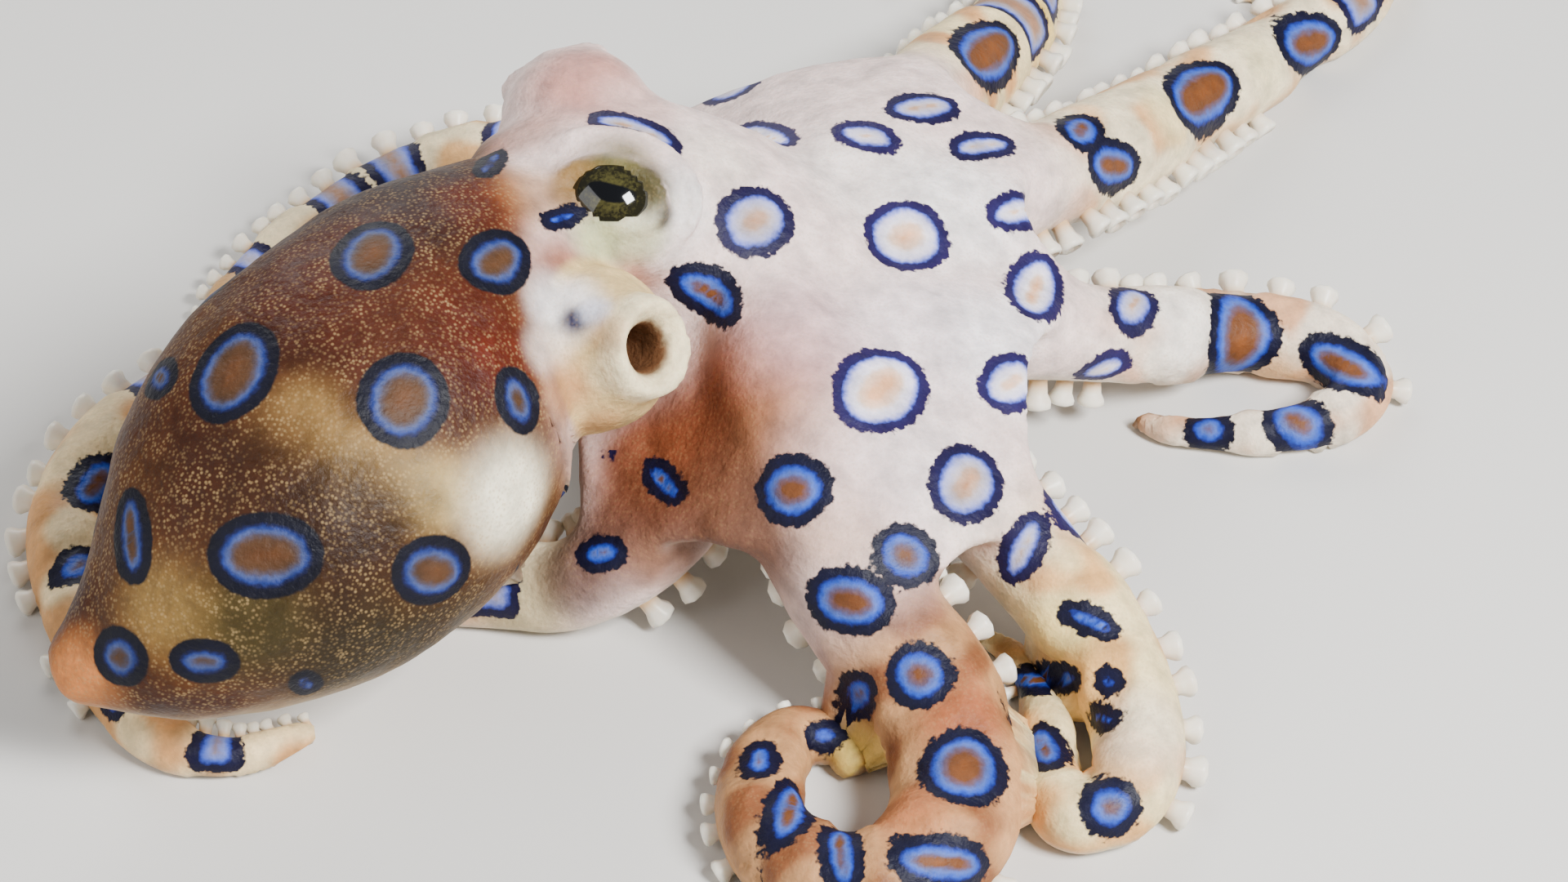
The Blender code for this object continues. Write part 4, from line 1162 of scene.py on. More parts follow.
# All the touches on the skin: its own colours with painted shade and painted highlights.
SKIN_TINTS_AND_LIGHT = MANTLE_TINTS_SHADE_AND_HIGHLIGHT + HEAD_TINTS_AND_HIGHLIGHT + CROWN_TINTS_AND_SHADE + EYELID_TOUCHES + WEB_TINTS_AND_HIGHLIGHT + ARM_TINTS_AND_HIGHLIGHT
FUNNEL_TINTS_AND_SHADE = (
    ColourAndLightTouch(690, 375, 3.6, "efe8e6", 0.95), ColourAndLightTouch(668, 430, 2.6, "ddc8bc", 0.8),
    ColourAndLightTouch(704, 392, 1.5, "2b2840", 1.0), ColourAndLightTouch(730, 380, 1.6, "c8cadb", 0.8),
    # (690, 480) and (735, 520): painted shade, tan on the funnel's lower side; (745, 410): painted shade by
    # its bore.
    ColourAndLightTouch(690, 480, 3.0, "ad754a", 0.8), ColourAndLightTouch(735, 520, 2.6, "bb8a58", 0.75),
    ColourAndLightTouch(745, 410, 2.2, "a87448", 0.5), ColourAndLightTouch(750, 460, 2.4, "f0e2b8", 0.7),
)


@dataclass(frozen=True)
class RingedSkin:
    """Moist octopus skin: thin, soft and full of small pigment sacs, so its colours are mottled and its
    blue rings, which reflect rather than absorb, stay clear and bright inside a dark ragged outline.

    Attributes:
        mottle: the width of the mottling, in millimetres.
        grain: the width of the skin's fine grain.
        speckle: the distance between the pigment specks.
        speck_colour: their colour, as sRGB hex.
        ragged: the width of the waves of a ring's ragged outline.
        gold: a ring's colours on an arm, from its middle out past its outline.
        white: the same on the pale crown.
        dusk: the same on the dark mantle.
    """

    mottle: float = 2.16
    grain: float = 0.45
    speckle: float = 0.27
    speck_colour: str = "a98d60"
    ragged: float = 0.55
    gold: Stops = ((0.0, "74421e"), (0.30, "683e22"), (0.42, "5a4c62"), (0.51, "4a62ae"),
                   (0.585, "244ab4"), (0.64, "15267a"), (0.685, "090b2a"), (0.90, "09071c"))
    white: Stops = ((0.0, "e8ac80"), (0.27, "ecc8b0"), (0.39, "efe6f0"), (0.53, "d6d2f0"),
                    (0.60, "8e94de"), (0.65, "4550a6"), (0.685, "201a4c"), (0.90, "241642"))
    dusk: Stops = ((0.0, "52321a"), (0.36, "46301e"), (0.45, "433b40"), (0.52, "3e4870"),
                   (0.585, "1f2c62"), (0.635, "0e1234"), (0.685, "060718"), (0.90, "050510"))

    def made(self) -> bpy.types.Material:
        """Builds the material that the whole skin wears.

        Returns:
            The material.
        """
        skin = new_material("moist ringed skin", {
            "Subsurface Weight": 0.12, "Subsurface Radius": (1.0, 0.45, 0.3), "Subsurface Scale": 0.0012,
            "IOR": 1.36, "Specular IOR Level": 0.38})
        tree = skin.node_tree
        shader = tree.nodes["Principled BSDF"]
        place = add_node(tree, "ShaderNodeTexCoord").outputs["Object"]
        speck = add_node(tree, "ShaderNodeAttribute", attribute_name="speck").outputs["Fac"]
        mottle = add_node(tree, "ShaderNodeTexNoise", {
            "Vector": place, "Scale": 1000 / self.mottle, "Detail": 5.0, "Roughness": 0.65}).outputs["Fac"]
        light = add_node(tree, "ShaderNodeMapRange", {
            "Value": mottle, "From Min": 0.3, "From Max": 0.7,
            "To Min": 0.66, "To Max": 1.22}).outputs["Result"]
        filling, mask = self.rings(tree, place, light, speck)
        final = add_node(tree, "ShaderNodeMix", {
            "Factor": mask, 6: self.ground(tree, place, mottle, light, speck), 7: filling}, data_type="RGBA")
        gloss = add_node(tree, "ShaderNodeMapRange", {
            "Value": mottle, "From Min": 0.3, "From Max": 0.7, "To Min": 0.46, "To Max": 0.64})
        tree.links.new(final.outputs[2], shader.inputs["Base Color"])
        tree.links.new(gloss.outputs["Result"], shader.inputs["Roughness"])
        tree.links.new(self.relief(tree, place, mottle), shader.inputs["Normal"])
        return skin

    def ground(self, tree: bpy.types.NodeTree, place: bpy.types.NodeSocket, mottle: bpy.types.NodeSocket,
               light: bpy.types.NodeSocket, speck: bpy.types.NodeSocket) -> bpy.types.NodeSocket:
        """Mottles the painted tint, the skin's own colours with painted shade and painted highlights laid in,
        and strews it with specks.

        Args:
            tree: the material's node tree.
            place: the place on the piece.
            mottle: the mottling's noise.
            light: how much it lightens or darkens.
            speck: how strong the specks are.

        Returns:
            The skin's colour outside the rings.
        """
        tint = add_node(tree, "ShaderNodeAttribute", attribute_name="tint").outputs["Color"]
        toned = add_node(tree, "ShaderNodeVectorMath", {0: tint, "Scale": light}, operation="SCALE")
        sacs = add_node(tree, "ShaderNodeTexVoronoi", {"Vector": place, "Scale": 1000 / self.speckle})
        dot = add_node(tree, "ShaderNodeMapRange", {
            "Value": sacs.outputs["Distance"], "From Min": 0.16, "From Max": 0.50,
            "To Min": 1.0, "To Max": 0.0}).outputs["Result"]
        sparse = add_node(tree, "ShaderNodeMapRange", {
            "Value": mottle, "From Min": 0.36, "From Max": 0.60}).outputs["Result"]
        strewn = add_node(tree, "ShaderNodeMath", {0: dot, 1: sparse}, operation="MULTIPLY")
        amount = add_node(tree, "ShaderNodeMath", {0: strewn.outputs["Value"], 1: speck},
                          operation="MULTIPLY")
        return add_node(tree, "ShaderNodeMix", {
            "Factor": amount.outputs["Value"], 6: toned.outputs["Vector"], 7: linear(self.speck_colour)},
            data_type="RGBA").outputs[2]

    def rings(self, tree: bpy.types.NodeTree, place: bpy.types.NodeSocket, light: bpy.types.NodeSocket,
              speck: bpy.types.NodeSocket) -> tuple[bpy.types.NodeSocket, bpy.types.NodeSocket]:
        """Fills the rings inside a ragged outline.

        Args:
            tree: the material's node tree.
            place: the place on the piece.
            light: how much the mottling lightens or darkens.
            speck: how strong the specks are, which is more on the mantle.

        Returns:
            The rings' colour, and their mask.
        """
        ring, tone = (add_node(tree, "ShaderNodeAttribute", attribute_name=name).outputs["Fac"]
                      for name in ("ring", "tone"))
        rag = add_node(tree, "ShaderNodeTexNoise", {
            "Vector": place, "Scale": 1000 / self.ragged, "Detail": 2.0, "Roughness": 0.55})
        even = add_node(tree, "ShaderNodeMath", {0: rag.outputs["Fac"], 1: 0.5}, operation="SUBTRACT")
        waver = add_node(tree, "ShaderNodeMapRange", {
            "Value": speck, "From Min": 0.22, "From Max": 0.44, "To Min": 0.95, "To Max": 0.25})
        edges = []
        for wander in (waver.outputs["Result"], 0.45):
            drift = add_node(tree, "ShaderNodeMath", {0: even.outputs["Value"], 1: wander},
                             operation="MULTIPLY")
            edges.append(add_node(tree, "ShaderNodeMath", {0: ring, 1: drift.outputs["Value"]},
                                  operation="ADD").outputs["Value"])
        outer, inner = edges
        share = add_node(tree, "ShaderNodeMapRange", {
            "Value": inner, "From Min": -2.6, "From Max": 0.8}).outputs["Result"]
        gold, white, dusk = (add_node(tree, "ShaderNodeValToRGB", {"Fac": share}, ramp=stops).outputs["Color"]
                             for stops in (self.gold, self.white, self.dusk))
        lit = add_node(tree, "ShaderNodeMix", {"Factor": tone, 6: gold, 7: white}, data_type="RGBA")
        mantle = add_node(tree, "ShaderNodeMapRange", {
            "Value": speck, "From Min": 0.26, "From Max": 0.40, "To Min": 0.0, "To Max": 0.9})
        inside = add_node(tree, "ShaderNodeMix", {
            "Factor": mantle.outputs["Result"], 6: lit.outputs[2], 7: dusk}, data_type="RGBA")
        filling = add_node(tree, "ShaderNodeVectorMath", {0: inside.outputs[2], "Scale": light},
                           operation="SCALE")
        mask = add_node(tree, "ShaderNodeMapRange", {
            "Value": outer, "From Min": 0.30, "From Max": 0.46, "To Min": 1.0, "To Max": 0.0})
        return filling.outputs["Vector"], mask.outputs["Result"]

    def relief(self, tree: bpy.types.NodeTree, place: bpy.types.NodeSocket,
               mottle: bpy.types.NodeSocket) -> bpy.types.NodeSocket:
        """Raises the grain and the mottling a little.

        Args:
            tree: the material's node tree.
            place: the place on the piece.
            mottle: the mottling's noise.

        Returns:
            The skin's normal.
        """
        fine = add_node(tree, "ShaderNodeTexNoise", {
            "Vector": place, "Scale": 1000 / self.grain, "Detail": 3.0})
        grained = add_node(tree, "ShaderNodeBump", {
            "Height": fine.outputs["Fac"], "Strength": 0.5, "Distance": 0.0002})
        return add_node(tree, "ShaderNodeBump", {
            "Height": mottle, "Normal": grained.outputs["Normal"], "Strength": 0.3,
            "Distance": 0.0005}).outputs["Normal"]


@dataclass(frozen=True)
class Pigments:
    """The skin's ground colours, as sRGB hex, and how they are mixed.

    Attributes:
        crown: the crown and webs.
        tan: the mantle.
        rust: the mantle's stains.
        underside: the lower side.
        funnel: the funnel's wall.
        funnel_rim: its rim.
        funnel_bore: inside it, dark brown as painted shade in the opening.
        patch_share: how much of an arm's second colour its patches have.
        patch_size: the patches' width.
        stain_share: how much rust the stains have.
        stain_size: the stains' width.
        under_share: how much of the underside's colour is laid on there.
        richness: the power that deepens the colours, because the soft light lightens them.
        mantle_richness: how much higher it is on the dark mantle.
    """

    crown: str = "eed6d0"
    tan: str = "8a6842"
    rust: str = "6b3f25"
    underside: str = "e6dccb"
    funnel: str = "dcbc82"
    funnel_rim: str = "f0dfb4"
    funnel_bore: str = "6e4a30"
    patch_share: float = 0.85
    patch_size: float = 3.2
    stain_share: float = 0.75
    stain_size: float = 6.0
    under_share: float = 0.8
    richness: float = 1.06
    mantle_richness: float = 0.84


@dataclass
class Markings:
    """Paints the skin: its ground colours, the photo's rings, the hidden sides' rings and the arm bands.

    Attributes:
        skin: the fused skin.
        body: its sizes.
        view: where the photo was taken from.
        pigments: the ground colours.
        waves_height: how far a ring's outline wanders in and out.
        waves_width: the width of one such wave.
        facing: how nearly a ring's skin must face as its middle does.
        round_facing: the same on a free arm, where a ring of the photo wraps round it.
        widest: how far from a ring's middle its skin may lie.
        deepest: how far from its middle's own plane it may lie.
        slant: the least share of a ring's size that slanting skin is taken to show.
        arm_from: how far along an arm its free length surely starts.
        arm_thick: how near an arm's middle line its own skin lies there.
        hidden_tries: how many corners are tried as the middle of a hidden ring.
        hidden_half: half the width of the smallest and the widest hidden ring.
        hidden_apart: the least distance from a hidden ring's outline to another ring.
        hidden_bare: how far from the eyes, the funnel and the mantle's tip its middle stays.
        hidden_along: how far along the arms it may lie.
        hidden_near: how near an arm's middle line a corner counts as the arm's.
        hidden_turned: the most that its skin may face the photo's camera.
        hidden_lowest: the least that it may face upwards.
        hidden_facing: how nearly a hidden ring's skin must face as its middle does.
        hidden_deepest: how far from its middle's own plane that may lie.
        band_long: half a band's length over the arm's radius.
        band_more: what is added to that.
        band_vary: the least and the most of its length over its even one.
        band_wide: the least and the most of half its width over the arm's radius.
        band_corner: its corners' radius over half its length.
        band_stray: how far it strays round the arm, in radians.
        band_white: the most that white fills it.
        band_apart: the least distance from its outline to a ring of the photo.
        bulge: how far an arm's skin bulges between its marks, over its radius.
        bulge_radius: the radius past which it bulges no more.
        bore_from: how far along the funnel its bore is seen from.
        speck_low: how strong the specks are on the crown and arms.
        speck_more: how much stronger they are on the mantle.
    """

    skin: bpy.types.Object
    body: Body
    view: PhotoView
    pigments: Pigments = Pigments()
    waves_height: float = 0.14
    waves_width: float = 2.2
    facing: float = 0.1
    round_facing: float = -0.3
    widest: float = 15.0
    deepest: float = 7.0
    slant: float = 0.42
    arm_from: float = 26.0
    arm_thick: float = 5.0
    hidden_tries: int = 9000
    hidden_half: tuple[float, float] = (1.9, 2.9)
    hidden_apart: float = 2.4
    hidden_bare: float = 8.5
    hidden_along: float = 24.0
    hidden_near: float = 6.0
    hidden_turned: float = -0.1
    hidden_lowest: float = -0.35
    hidden_facing: float = 0.3
    hidden_deepest: float = 3.0
    band_long: float = 0.62
    band_more: float = 0.35
    band_vary: tuple[float, float] = (0.9, 1.1)
    band_wide: tuple[float, float] = (1.35, 1.6)
    band_corner: float = 0.55
    band_stray: float = 0.2
    band_white: float = 0.45
    band_apart: float = 0.9
    bulge: float = 0.2
    bulge_radius: float = 2.2
    bore_from: float = 3.0
    speck_low: float = 0.20
    speck_more: float = 0.30
    places: np.ndarray = field(init=False)
    normals: np.ndarray = field(init=False)
    reading: ArmReading = field(init=False)
    tree: BVHTree = field(init=False)
    ring: np.ndarray = field(init=False)
    tone: np.ndarray = field(init=False)
    waves: np.ndarray = field(init=False)

    def __post_init__(self) -> None:
        """Reads the skin once for all the painting."""
        self.places = corners_of(self.skin)
        self.normals = corners_of(self.skin, "normal")
        self.reading = ArmReading.of(self.places)
        faces = [tuple(face.vertices) for face in self.skin.data.polygons]
        self.tree = BVHTree.FromPolygons([tuple(p) for p in self.places], faces)
        self.ring = np.full(len(self.places), FAR)
        self.tone = np.zeros(len(self.places))
        self.waves = self.waves_height * noise_at(self.places, self.waves_width, 31.0)

    def lay(self, distance: np.ndarray, tone: float) -> None:
        """Keeps the nearer outline at each corner."""
        nearer = distance < self.ring
        self.ring[nearer] = distance[nearer]
        self.tone[nearer] = tone

    def oval(self, middle: Vector, normal: Vector, flat: np.ndarray, tone: float, facing: float,
             depth: float) -> None:
        """Lays one oval ring on the skin round a point.

        Args:
            middle: the ring's middle on the skin.
            normal: the skin's outward direction there.
            flat: the matrix from the two directions of the skin there to the ring's own, 1 at its outline.
            tone: what fills it.
            facing: how nearly the skin that takes it must face the same way.
            depth: how far from the middle's own plane that skin may lie.
        """
        first, second = self.tangents(normal)
        out = self.places - np.array(middle)
        near = (dots(out, out) < self.widest ** 2) & (self.normals @ np.array(normal) > facing)
        s = out[near] @ np.array([first, second]).T
        deep = np.abs(out[near] @ np.array(normal))
        q = s @ flat.T
        k0 = np.linalg.norm(q, axis=1)
        k1 = np.linalg.norm(q @ flat, axis=1)
        apart = np.where(k0 > 1e-6, k0 * (k0 - 1) / np.maximum(k1, 1e-6), -1 / np.linalg.norm(flat, 2))
        apart += self.waves[near]
        apart = np.where(deep > depth, FAR, apart)
        distance = np.full(len(self.places), FAR)
        distance[near] = apart
        self.lay(distance, tone)

    @staticmethod
    def tangents(normal: Vector) -> tuple[Vector, Vector]:
        """Two directions along the skin, the first as level as it can be."""
        first = Vector((1, 0, 0)) - normal * normal.x
        first.normalize()
        return first, normal.cross(first).normalized()

    def seen(self, across: float, down: float) -> tuple[Vector, Vector] | None:
        """The skin's place and outward direction under a pixel of the photo."""
        place, normal, _, _ = self.tree.ray_cast(self.view.eye, self.view.ray(across, down))
        return None if place is None else (place, normal)

    def photo_rings(self) -> None:
        """Lays the rings that the photo shows, each with the shape that it has from there."""
        for mark in RINGS:
            found = self.seen(mark.across, mark.down)
            if found is None:
                LOG.info("no skin under the ring at %s, %s", mark.across, mark.down)
                continue
            place, normal = found
            first, second = self.tangents(normal)
            size = self.view.pixel_size(place)
            upward = self.view.upward
            sight = np.array([[first.x, second.x], [first.dot(upward), second.dot(upward)]])
            left, sizes, right = np.linalg.svd(sight)
            sight = left @ np.diag(np.maximum(sizes, self.slant)) @ right
            scale = np.diag([2 / (mark.wide * size), 2 / (mark.tall * size)])
            nearest = np.argmin(np.linalg.norm(self.places - np.array(place), axis=1))
            free = (self.reading.out[nearest] < self.arm_thick
                    and self.reading.along[nearest] > self.arm_from)
            flat = scale @ flat_turn(math.radians(mark.turn)) @ sight
            self.oval(place, normal, flat, mark.tone.value, self.round_facing if free else self.facing,
                      self.deepest)

    def hidden_rings(self) -> None:
        """Scatters rings over the sides that the photo doesn't show, as the species has them."""
        rng = random.Random(21)
        order = list(range(len(self.places)))
        rng.shuffle(order)
        last = self.body.mantle[-1]
        bare = [self.body.right_eye, self.body.left_eye, self.body.funnel_base,
                Vector((last.x, last.y, last.z))]
        laid = 0
        for index in order[:self.hidden_tries]:
            place, normal = Vector(self.places[index]), Vector(self.normals[index])
            if self.ring[index] < self.hidden_apart or normal.z < self.hidden_lowest:
                continue
            if self.reading.along[index] > self.hidden_along and self.reading.out[index] < self.hidden_near:
                continue
            if (self.view.eye - place).normalized().dot(normal) > self.hidden_turned:
                continue
            if min((place - spot).length for spot in bare) < self.hidden_bare:
                continue
            half = rng.uniform(*self.hidden_half)
            stretch = rng.uniform(0.75, 1.0)
            turn = rng.uniform(0, math.pi)
            if self.ring[index] - half < self.hidden_apart:
                continue
            flat = np.diag([1 / half, 1 / (half * stretch)]) @ flat_turn(turn)
            white = smooth(-16, -8, np.array([place.x]))[0] * rng.uniform(0.6, 1.0)
            self.oval(place, normal, flat, float(white), self.hidden_facing, self.hidden_deepest)
            laid += 1
        LOG.info("hidden sides: %d rings", laid)

    def arm_bands(self) -> None:
        """Lays the bands over each arm's back, long saddles with rounded corners."""
        rng = random.Random(5)
        along, turn = self.reading.along, self.reading.turn
        for number, arm in enumerate(ARMS):
            on_arm = (self.reading.arm == number) & (self.reading.out < 1.6 * arm.radius(along) + 0.5)
            for middle in arm.bands:
                radius = float(arm.radius(middle))
                half_long = self.band_long * radius * rng.uniform(*self.band_vary) + self.band_more
                half_wide = radius * rng.uniform(*self.band_wide)
                corner = half_long * self.band_corner
                stray = rng.uniform(-self.band_stray, self.band_stray)
                x = np.abs(along - middle) - (half_long - corner)
                y = np.abs(turn - stray) * radius - (half_wide - corner)
                outer = np.hypot(np.maximum(x, 0), np.maximum(y, 0)) + np.minimum(np.maximum(x, y), 0)
                distance = np.where(on_arm, outer - corner + self.waves, FAR)
                tone = rng.uniform(0.0, self.band_white)
                if (self.ring[distance < 0.5] > self.band_apart).all():
                    self.lay(distance, tone)

    def ground(self) -> np.ndarray:
        """Mixes the skin's ground colours: brown mantle, pale crown, cream arms, pale underside; then lays
        the touches, with their painted shade and painted highlights, the funnel's colours and painted shade
        inside its bore.

        Returns:
            One colour for each corner.
        """
        places, reading, body, hue = self.places, self.reading, self.body, self.pigments
        back = smooth(-1.5, 2.5, body.past_neck(places)) * smooth(5, 7, reading.out)
        cream, amber = (np.array([linear(arm.ground[side]) for arm in ARMS])[reading.arm] for side in (0, 1))
        patches = hue.patch_share * smooth(-0.1, 0.35, noise_at(places, hue.patch_size, 3.0))
        tint = blend(hue.crown, blend(cream, amber, patches), reading.free(18, 28, 6))
        stain = hue.stain_share * smooth(-0.1, 0.45, noise_at(places, hue.stain_size, 9.0))
        tint = blend(tint, blend(hue.tan, hue.rust, stain), back)
        tint = blend(tint, hue.underside, hue.under_share * smooth(0.2, 0.8, -self.normals[:, 2]))
        richness = (hue.richness + hue.mantle_richness * back)[:, None]
        tint = np.clip(self.touched(tint, SKIN_TINTS_AND_LIGHT), 0, 1) ** richness
        along, out = body.by_funnel(places)
        wide, tip = body.funnel_wide, body.funnel_length
        near = smooth(wide + 0.9, wide + 0.1, out) * smooth(-2.0, 1.5, along) * (along < tip + 1)
        tint = blend(tint, hue.funnel, near)
        tint = blend(tint, hue.funnel_rim, near * smooth(tip - 2.2, tip - 0.8, along))
        tint = self.touched(tint, FUNNEL_TINTS_AND_SHADE)
        # Painted shade: dark brown inside the funnel's opening, where the bore lies in shadow.
        inside = (along > self.bore_from) * (along < tip)
        bore = smooth(body.funnel_bore + 0.5, body.funnel_bore + 0.1, out) * inside
        return blend(tint, hue.funnel_bore, bore)

    def touched(self, tint: np.ndarray, touches: tuple[ColourAndLightTouch, ...]) -> np.ndarray:
        """Lays soft touches over the ground: the skin's own colours, painted shade and painted highlights.

        Args:
            tint: one colour for each corner.
            touches: the touches, the last on top.

        Returns:
            The new colours.
        """
        for touch in touches:
            found = self.seen(touch.across, touch.down)
            if found is None:
                continue
            place, normal = found
            apart = np.linalg.norm(self.places - np.array(place), axis=1)
            facing = smooth(-0.2, 0.3, self.normals @ np.array(normal))
            share = touch.strength * (1 - smooth(0.25, 1.0, apart / touch.reach)) * facing
            tint = blend(tint, touch.colour, share)
        return tint

    def swell(self) -> None:
        """Lets the arms' skin bulge a little between their marks."""
        free = self.reading.free(22, 30, 5) * (self.places[:, 2] > 0.4)
        radius = np.array([arm.radius(self.reading.along) for arm in ARMS])
        radius = radius[self.reading.arm, np.arange(len(self.places))]
        lift = self.bulge * np.minimum(radius, self.bulge_radius) * smooth(0.1, 1.4, self.ring) * free
        set_corners(self.skin, self.places + self.normals * lift[:, None])

    def paint(self) -> None:
        """Lays all the markings and stores them on the skin."""
        self.photo_rings()
        self.arm_bands()
        self.hidden_rings()
        along, out = self.body.by_funnel(self.places)
        bare = (along > 0.5) & (along < self.body.funnel_length + 1) & (out < self.body.funnel_wide + 0.5)
        self.ring[bare] = FAR
        self.swell()
        back = smooth(-3, 3, self.body.past_neck(self.places)) * smooth(5, 7, self.reading.out)
        bore = (out < self.body.funnel_bore + 0.9) & (along > self.bore_from)
        # The tint holds the skin's own colours with painted shade and painted highlights laid in.
        store(self.skin, "tint", self.ground())
        store(self.skin, "ring", self.ring)
        store(self.skin, "tone", self.tone)
        store(self.skin, "speck", (self.speck_low + self.speck_more * back) * ~bore)


@dataclass(frozen=True)
class SuckerFlesh:
    """Sucker muscle: milky and translucent, so it glows at its rim and is warmer down in the cup.

    Attributes:
        rim: the rim's colour, as sRGB hex.
        cup: the colour down in the cup.
        stalk: the stalk's colour.
        mottle: the width of the mottling, in millimetres.
    """

    rim: str = "f1eadb"
    cup: str = "b98f68"
    stalk: str = "cfa877"
    mottle: float = 1.43

    def made(self) -> bpy.types.Material:
        """Builds the suckers' material.

        Returns:
            The material.
        """
        flesh = new_material("milky sucker flesh", {
            "Roughness": 0.32, "Subsurface Weight": 0.3, "Subsurface Radius": (1.0, 0.7, 0.5),
            "Subsurface Scale": 0.0008, "IOR": 1.38})
        tree = flesh.node_tree
        place = add_node(tree, "ShaderNodeTexCoord").outputs["Object"]
        cup, low = (add_node(tree, "ShaderNodeAttribute", attribute_name=name).outputs["Fac"]
                    for name in ("cup", "stalk"))
        mottle = add_node(tree, "ShaderNodeTexNoise", {
            "Vector": place, "Scale": 1000 / self.mottle, "Detail": 3.0})
        shift = add_node(tree, "ShaderNodeMapRange", {
            "Value": mottle.outputs["Fac"], "From Min": 0.3, "From Max": 0.7,
            "To Min": -0.15, "To Max": 0.15})
        share = add_node(tree, "ShaderNodeMath", {0: cup, 1: shift.outputs["Result"]}, operation="ADD",
                         use_clamp=True)
        tone = add_node(tree, "ShaderNodeMix", {
            "Factor": share.outputs["Value"], 6: linear(self.rim), 7: linear(self.cup)}, data_type="RGBA")
        warmed = add_node(tree, "ShaderNodeMix", {
            "Factor": low, 6: tone.outputs[2], 7: linear(self.stalk)}, data_type="RGBA")
        tree.links.new(warmed.outputs[2], tree.nodes["Principled BSDF"].inputs["Base Color"])
        return flesh


@dataclass
class Suckers:
    """Two rows of suckers along one arm, set close, each a stalk with a swollen rim and a cup.

    Attributes:
        arm: the arm that carries them.
        width: the widest sucker.
        root_size: the size at the mouth over the widest.
        growth: how fast the suckers widen from there, over the arm's length.
        tip_size: the size at the tip over the widest.
        shrinking: how fast they widen from the tip.
        first: where the rows start along the arm.
        tip_bare: the length of the tip that has none.
        root_splay: how far out of the sucker side each row leans at the mouth.
        side_splay: the same past the web, for a row that faces neither side of the animal.
        far_lift: how much more a row leans out on the animal's left.
        near_drop: how much less it does on its right.
        under_splay: the lean of a row that is rolled under the arm.
        floor_room: how near the floor the middle of a rim may come, over the sucker's width.
        pitch: the distance between suckers over their width.
        sides: how many sides a sucker has.
        own_reach: how far along its own arm a sucker can't be crowded.
        gap: the least distance from a rim to another arm's skin, over the sucker's width.
        sizes: the least and the most of a sucker's width over its even one.
        sway: how far a sucker strays out of its row, in radians.
        lean: how far it leans along the arm.
        foot_in: how far out its foot stands, over the arm's radius.
        lowest: the least height of its skin over the floor.
        cup_radius: where the cup's darker colour starts, over the sucker's width.
        stalk_height: how high the stalk's colour reaches, in the same way.
        profile: a sucker of unit width from its foot to its cup, as points of (radius, height).
    """

    arm: Arm
    width: float = 2.05
    root_size: float = 0.55
    growth: float = 1.6
    tip_size: float = 0.42
    shrinking: float = 1.7
    first: float = 6.5
    tip_bare: float = 0.4
    root_splay: float = math.radians(30)
    side_splay: float = math.radians(75)
    far_lift: float = math.radians(37)
    near_drop: float = math.radians(20)
    under_splay: float = math.radians(20)
    floor_room: float = 0.25
    pitch: float = 1.18
    sides: int = 8
    own_reach: float = 8.0
    gap: float = 0.8
    sizes: tuple[float, float] = (0.92, 1.08)
    sway: float = 0.09
    lean: float = 0.18
    foot_in: float = 0.95
    lowest: float = 0.02
    cup_radius: float = 0.30
    stalk_height: float = 0.55
    profile: tuple[tuple[float, float], ...] = (
        (0.36, -0.35), (0.32, 0.12), (0.36, 0.50), (0.50, 0.76), (0.50, 0.92), (0.38, 1.0), (0.20, 0.86),
        (0.10, 0.62))

    def pattern(self) -> bpy.types.Object:
        """Models one sucker of unit width by hand, mouth up, in edit mode.

        Returns:
            The pattern object.
        """
        deselect()
        bpy.ops.mesh.primitive_circle_add(vertices=self.sides, radius=self.profile[0][0], fill_type="NGON",
                                          location=(0, 0, self.profile[0][1]))
        made = bpy.context.object
        bpy.ops.object.transform_apply(location=True)
        bpy.ops.object.mode_set(mode="EDIT")
        bpy.ops.mesh.select_all(action="SELECT")
        for (narrow, low), (wide, high) in zip(self.profile, self.profile[1:]):
            bpy.ops.mesh.extrude_region_move(TRANSFORM_OT_translate={"value": (0, 0, high - low)})
            bpy.ops.transform.resize(value=(wide / narrow, wide / narrow, 1))
        bpy.ops.mesh.select_all(action="SELECT")
        bpy.ops.mesh.normals_make_consistent(inside=False)
        bpy.ops.object.mode_set(mode="OBJECT")
        return made

    def size(self, distance: float) -> float:
        """A sucker's width at a distance along the arm."""
        share = distance / self.arm.line.length
        grown = min(1.0, self.root_size + share * self.growth)
        return self.width * grown * min(1.0, self.tip_size + self.shrinking * (1 - share))

    def aim(self, distance: float, row: int, sway: float) -> Vector:
        """The direction that a sucker of one row points in, a little further out by its sway."""
        _, side, back = self.arm.line.frame(distance)
        outward = side * row
        free = self.side_splay + (self.far_lift if outward.y > 0 else self.near_drop) * outward.y
        free = self.under_splay if row == self.arm.under_row else free
        opened = min(1.0, max(0.0, (distance - self.first) / (self.arm.web_end - self.first)))
        splay = self.root_splay + (free - self.root_splay) * opened + sway
        return outward * math.sin(splay) - back * math.cos(splay)

    def crowded(self, distance: float, rim: Vector, width: float) -> bool:
        """Whether a sucker's rim would come too near to another stretch of an arm."""
        for other in ARMS:
            along = np.arange(len(other.line.spots)) * other.line.step
            free = (np.abs(along - distance) > self.own_reach) | (other.name != self.arm.name)
            room = np.linalg.norm(other.line.spots - np.array(rim), axis=1) - other.radius(along)
            if (room[free] < self.gap * width).any():
                return True
        return False

